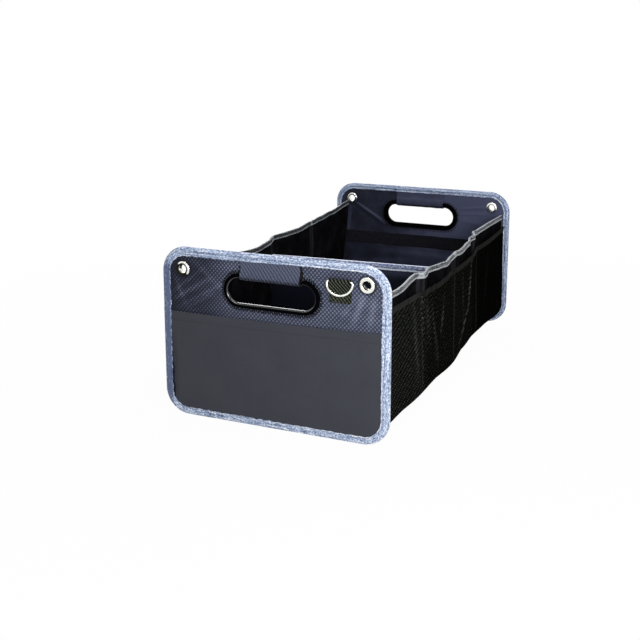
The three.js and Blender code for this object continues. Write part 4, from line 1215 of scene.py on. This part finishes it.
def divider():
    """Divider across the middle: a stiffener, two cloth faces and a taped upper edge that sags."""
    def width_at(z, side):
        """Reach of the divider to a wall at a height."""
        corner = corner_at(0.0)
        down = np.maximum(0, BASE_MID + corner - z)
        arc = WALL_MID - corner + np.sqrt(np.maximum((corner - 0.8) ** 2 - down ** 2, 0))
        wall = WALL_MID - drift_at(side, 0.0) * ease(BASE_MID + corner, top_at(side, 0.0), z)
        return np.minimum(arc, wall - 0.8) - 1.2

    def lean(x):
        """Distance by which the upper edge has sunk towards the left."""
        return 5.5 * (0.5 - x / 300)

    width, thick, low, high = 266, 2.6, DIVIDER_BASE + 6, DIVIDER_TOP - 2.2
    bpy.ops.object.select_all(action="DESELECT")
    bpy.ops.mesh.primitive_cube_add(size=1, location=(0, SHIFT * MM, (low + high) / 2 * MM),
                                    scale=(width * MM, thick * MM, (high - low) * MM))
    board = started("divider_stiffener")
    bpy.ops.object.transform_apply(location=True, rotation=True, scale=True)
    for corner in board.data.vertices:
        corner.select = corner.co.x < 0 and corner.co.z > (low + high) / 2 * MM
    bpy.ops.object.mode_set(mode="EDIT")
    bpy.ops.mesh.select_mode(type="VERT")
    bpy.ops.transform.translate(value=(0, 0, -5 * MM))
    bpy.ops.mesh.select_all(action="SELECT")
    bpy.ops.mesh.bevel(offset=0.4 * MM, segments=2)
    bpy.ops.object.mode_set(mode="OBJECT")
    finished(board, BOARD, ["divider_board"], angle=35)

    for face, sign in (("front", -1), ("rear", 1)):
        def place(across, up, sign=sign):
            z = DIVIDER_BASE + 0.2 + up * (DIVIDER_TOP - 1.6 - DIVIDER_BASE)
            right, left = width_at(z, "right"), width_at(z, "left")
            x = -left + (right + left) * across
            z = z - lean(x) * up
            slack = 0.5 * np.abs(wander(x, z, 55, 95 + sign)) + folds(
                x, z, [(-120, 40, -60, 110, 7, 0.5), (30, 120, 110, 80, 6, 0.45),
                       (-20, 130, 60, 136, 4, 0.4)])
            edge = np.minimum(np.minimum(right - x, x + left), z - DIVIDER_BASE)
            off = DIVIDER_FACE + slack * ease(2, 16, edge) * ease(152, 144, z)
            return x, sign * off + SHIFT, z

        # Painted shade over the lower part of each face
        piece = cloth(f"divider_{face}_cloth_face", 150, 72, (0.296, 0.145), place, 0.85,
                      marks=lambda x, y, z: -0.6 * ease(148, 128, z))
        dressed(piece, LINING, f"divider_{face}_cloth")

    section = rounded([(-2.8, -8), (-2.8, -1.6), (-2.4, 0.3), (-0.8, 0.8), (0.8, 0.8),
                       (2.4, 0.3), (2.8, -1.6), (2.8, -8)], 3)
    top = DIVIDER_TOP - 1.3

    def place(along, over):
        left, right = width_at(156.0, "left"), width_at(156.0, "right")
        x = -left + (left + right) * along
        out, up = along_line(section, over)
        hem = -0.22 * ridge(up, -5.8, 0.7)
        wave = 0.25 * wander(x, 50 * (out > 0), 18, 97) * ease(1, 6, -up)
        ragged = 0.35 * wander(x, 70 * (out > 0), 8, 98) * ease(5, 9, -up)
        return x, SHIFT + out + np.sign(out) * (np.abs(wave) + hem), top + up + ragged - lean(x)

    flat = (0.289, 0.0215)
    piece = cloth("divider_edging_tape", 200, 28, flat, place, CLOTH_THICK)
    dressed(piece, DIVIDER_TAPE, "divider_edging")


# The object

for node in ("front_board", "rear_board", *(f"base_board_{k}" for k in range(1, 5))):
    for material_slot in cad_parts[node].material_slots:
        material_slot.material = BOARD

for end in ("front", "rear"):
    for kind in ("outer_cover", "lining"):
        panel_skin(end, kind)
    panel_binding(end)
    hand_rim(end)
    hand_stitches(end)
    hand_grip(end)
    eyelets(end)
    loop_tape(end)
flat_pocket()
ring_tab()
hanging_ring()
for side in ("right", "left"):
    side_wall(side)
    wall_edging(side)
    net_pockets(side)
bottom_cloth()
base_insert()
divider()


# Stage, light and camera

def seen_straight(tree):
    """1 on rays that show the backdrop to the camera, off metal or through cloth."""
    path = add(tree, "LightPath").outputs
    seen = calc(tree, "MAXIMUM", path["Is Camera Ray"], path["Is Glossy Ray"])
    return calc(tree, "MAXIMUM", seen, path["Is Transmission Ray"])


def white_stage():
    """White floor that keeps the object's shadow, under a world that is white to the camera."""
    bpy.ops.object.select_all(action="DESELECT")
    bpy.ops.mesh.primitive_plane_add(size=30, location=(0, 0, 0))
    floor = started("studio_floor")
    material, tree, shader = begun("matte_white_paper", Roughness=0.9)
    shader.inputs["Base Color"].default_value = linear("#d8d8d8")
    away = add(tree, "VectorMath", {0: solid_place(tree)}, operation="LENGTH").outputs["Value"]
    share = calc(tree, "MULTIPLY", seen_straight(tree), ranged(tree, away, 0.4, 1.1, 0.97, 1.0))
    glow = add(tree, "Emission", {"Color": (1, 1, 1, 1), "Strength": 1.0})
    mixed = add(tree, "MixShader", {0: share, 1: shader.outputs[0], 2: glow.outputs[0]})
    tree.links.new(mixed.outputs[0], tree.nodes["Material Output"].inputs["Surface"])
    floor.data.materials.append(material)

    world = bpy.data.worlds.new("studio")
    bpy.context.scene.world = world
    world.use_nodes = True
    tree = world.node_tree
    tree.nodes.clear()
    strength = ranged(tree, seen_straight(tree), 0, 1, 0.13, 1.0)
    back = add(tree, "Background", {"Color": (1, 1, 1, 1), "Strength": strength})
    tree.links.new(back.outputs[0], add(tree, "OutputWorld").inputs["Surface"])


def soft_lamp(name, place, aim, size, power):
    """A softbox of this size in metres and power in watts."""
    data = bpy.data.lights.new(name, "AREA")
    data.shape = "RECTANGLE"
    data.size, data.size_y = size
    data.energy = power
    lamp = bpy.data.objects.new(name, data)
    bpy.context.scene.collection.objects.link(lamp)
    lamp.location = place
    lamp.rotation_euler = (Vector(aim) - Vector(place)).to_track_quat("-Z", "Y").to_euler()


def photo_camera():
    """Camera at the photograph's place, with its focal length."""
    turn, rise = math.radians(CAMERA_TURN), math.radians(CAMERA_RISE)
    back = Vector((math.sin(turn) * math.cos(rise), -math.cos(turn) * math.cos(rise),
                   math.sin(rise)))
    right = Vector((math.cos(turn), math.sin(turn), 0))
    up = back.cross(right)
    data = bpy.data.cameras.new("photo_camera")
    data.sensor_width, data.lens, data.shift_y = CAMERA_FRAME, CAMERA_LENS, CAMERA_SHIFT
    camera = bpy.data.objects.new("photo_camera", data)
    bpy.context.scene.collection.objects.link(camera)
    place = Matrix((right, up, back)).transposed().to_4x4()
    place.translation = CAMERA_PLACE
    camera.matrix_world = place
    bpy.context.scene.camera = camera


white_stage()
soft_lamp("key_softbox", (0.66, -1.05, 0.44), (0.05, -0.25, 0.12), (0.4, 0.3), 8.5)
soft_lamp("strip_softbox", (0.1, -0.62, 1.2), (0, -0.28, 0.15), (0.9, 0.1), 4)
soft_lamp("rear_softbox", (-0.75, 1.15, 0.7), (-0.05, 0.2, 0.1), (0.5, 0.4), 9)
soft_lamp("top_softbox", (0.45, 0.1, 1.4), (0, 0.15, 0.1), (0.7, 0.7), 8)
photo_camera()
bpy.context.scene.view_settings.view_transform = "Standard"
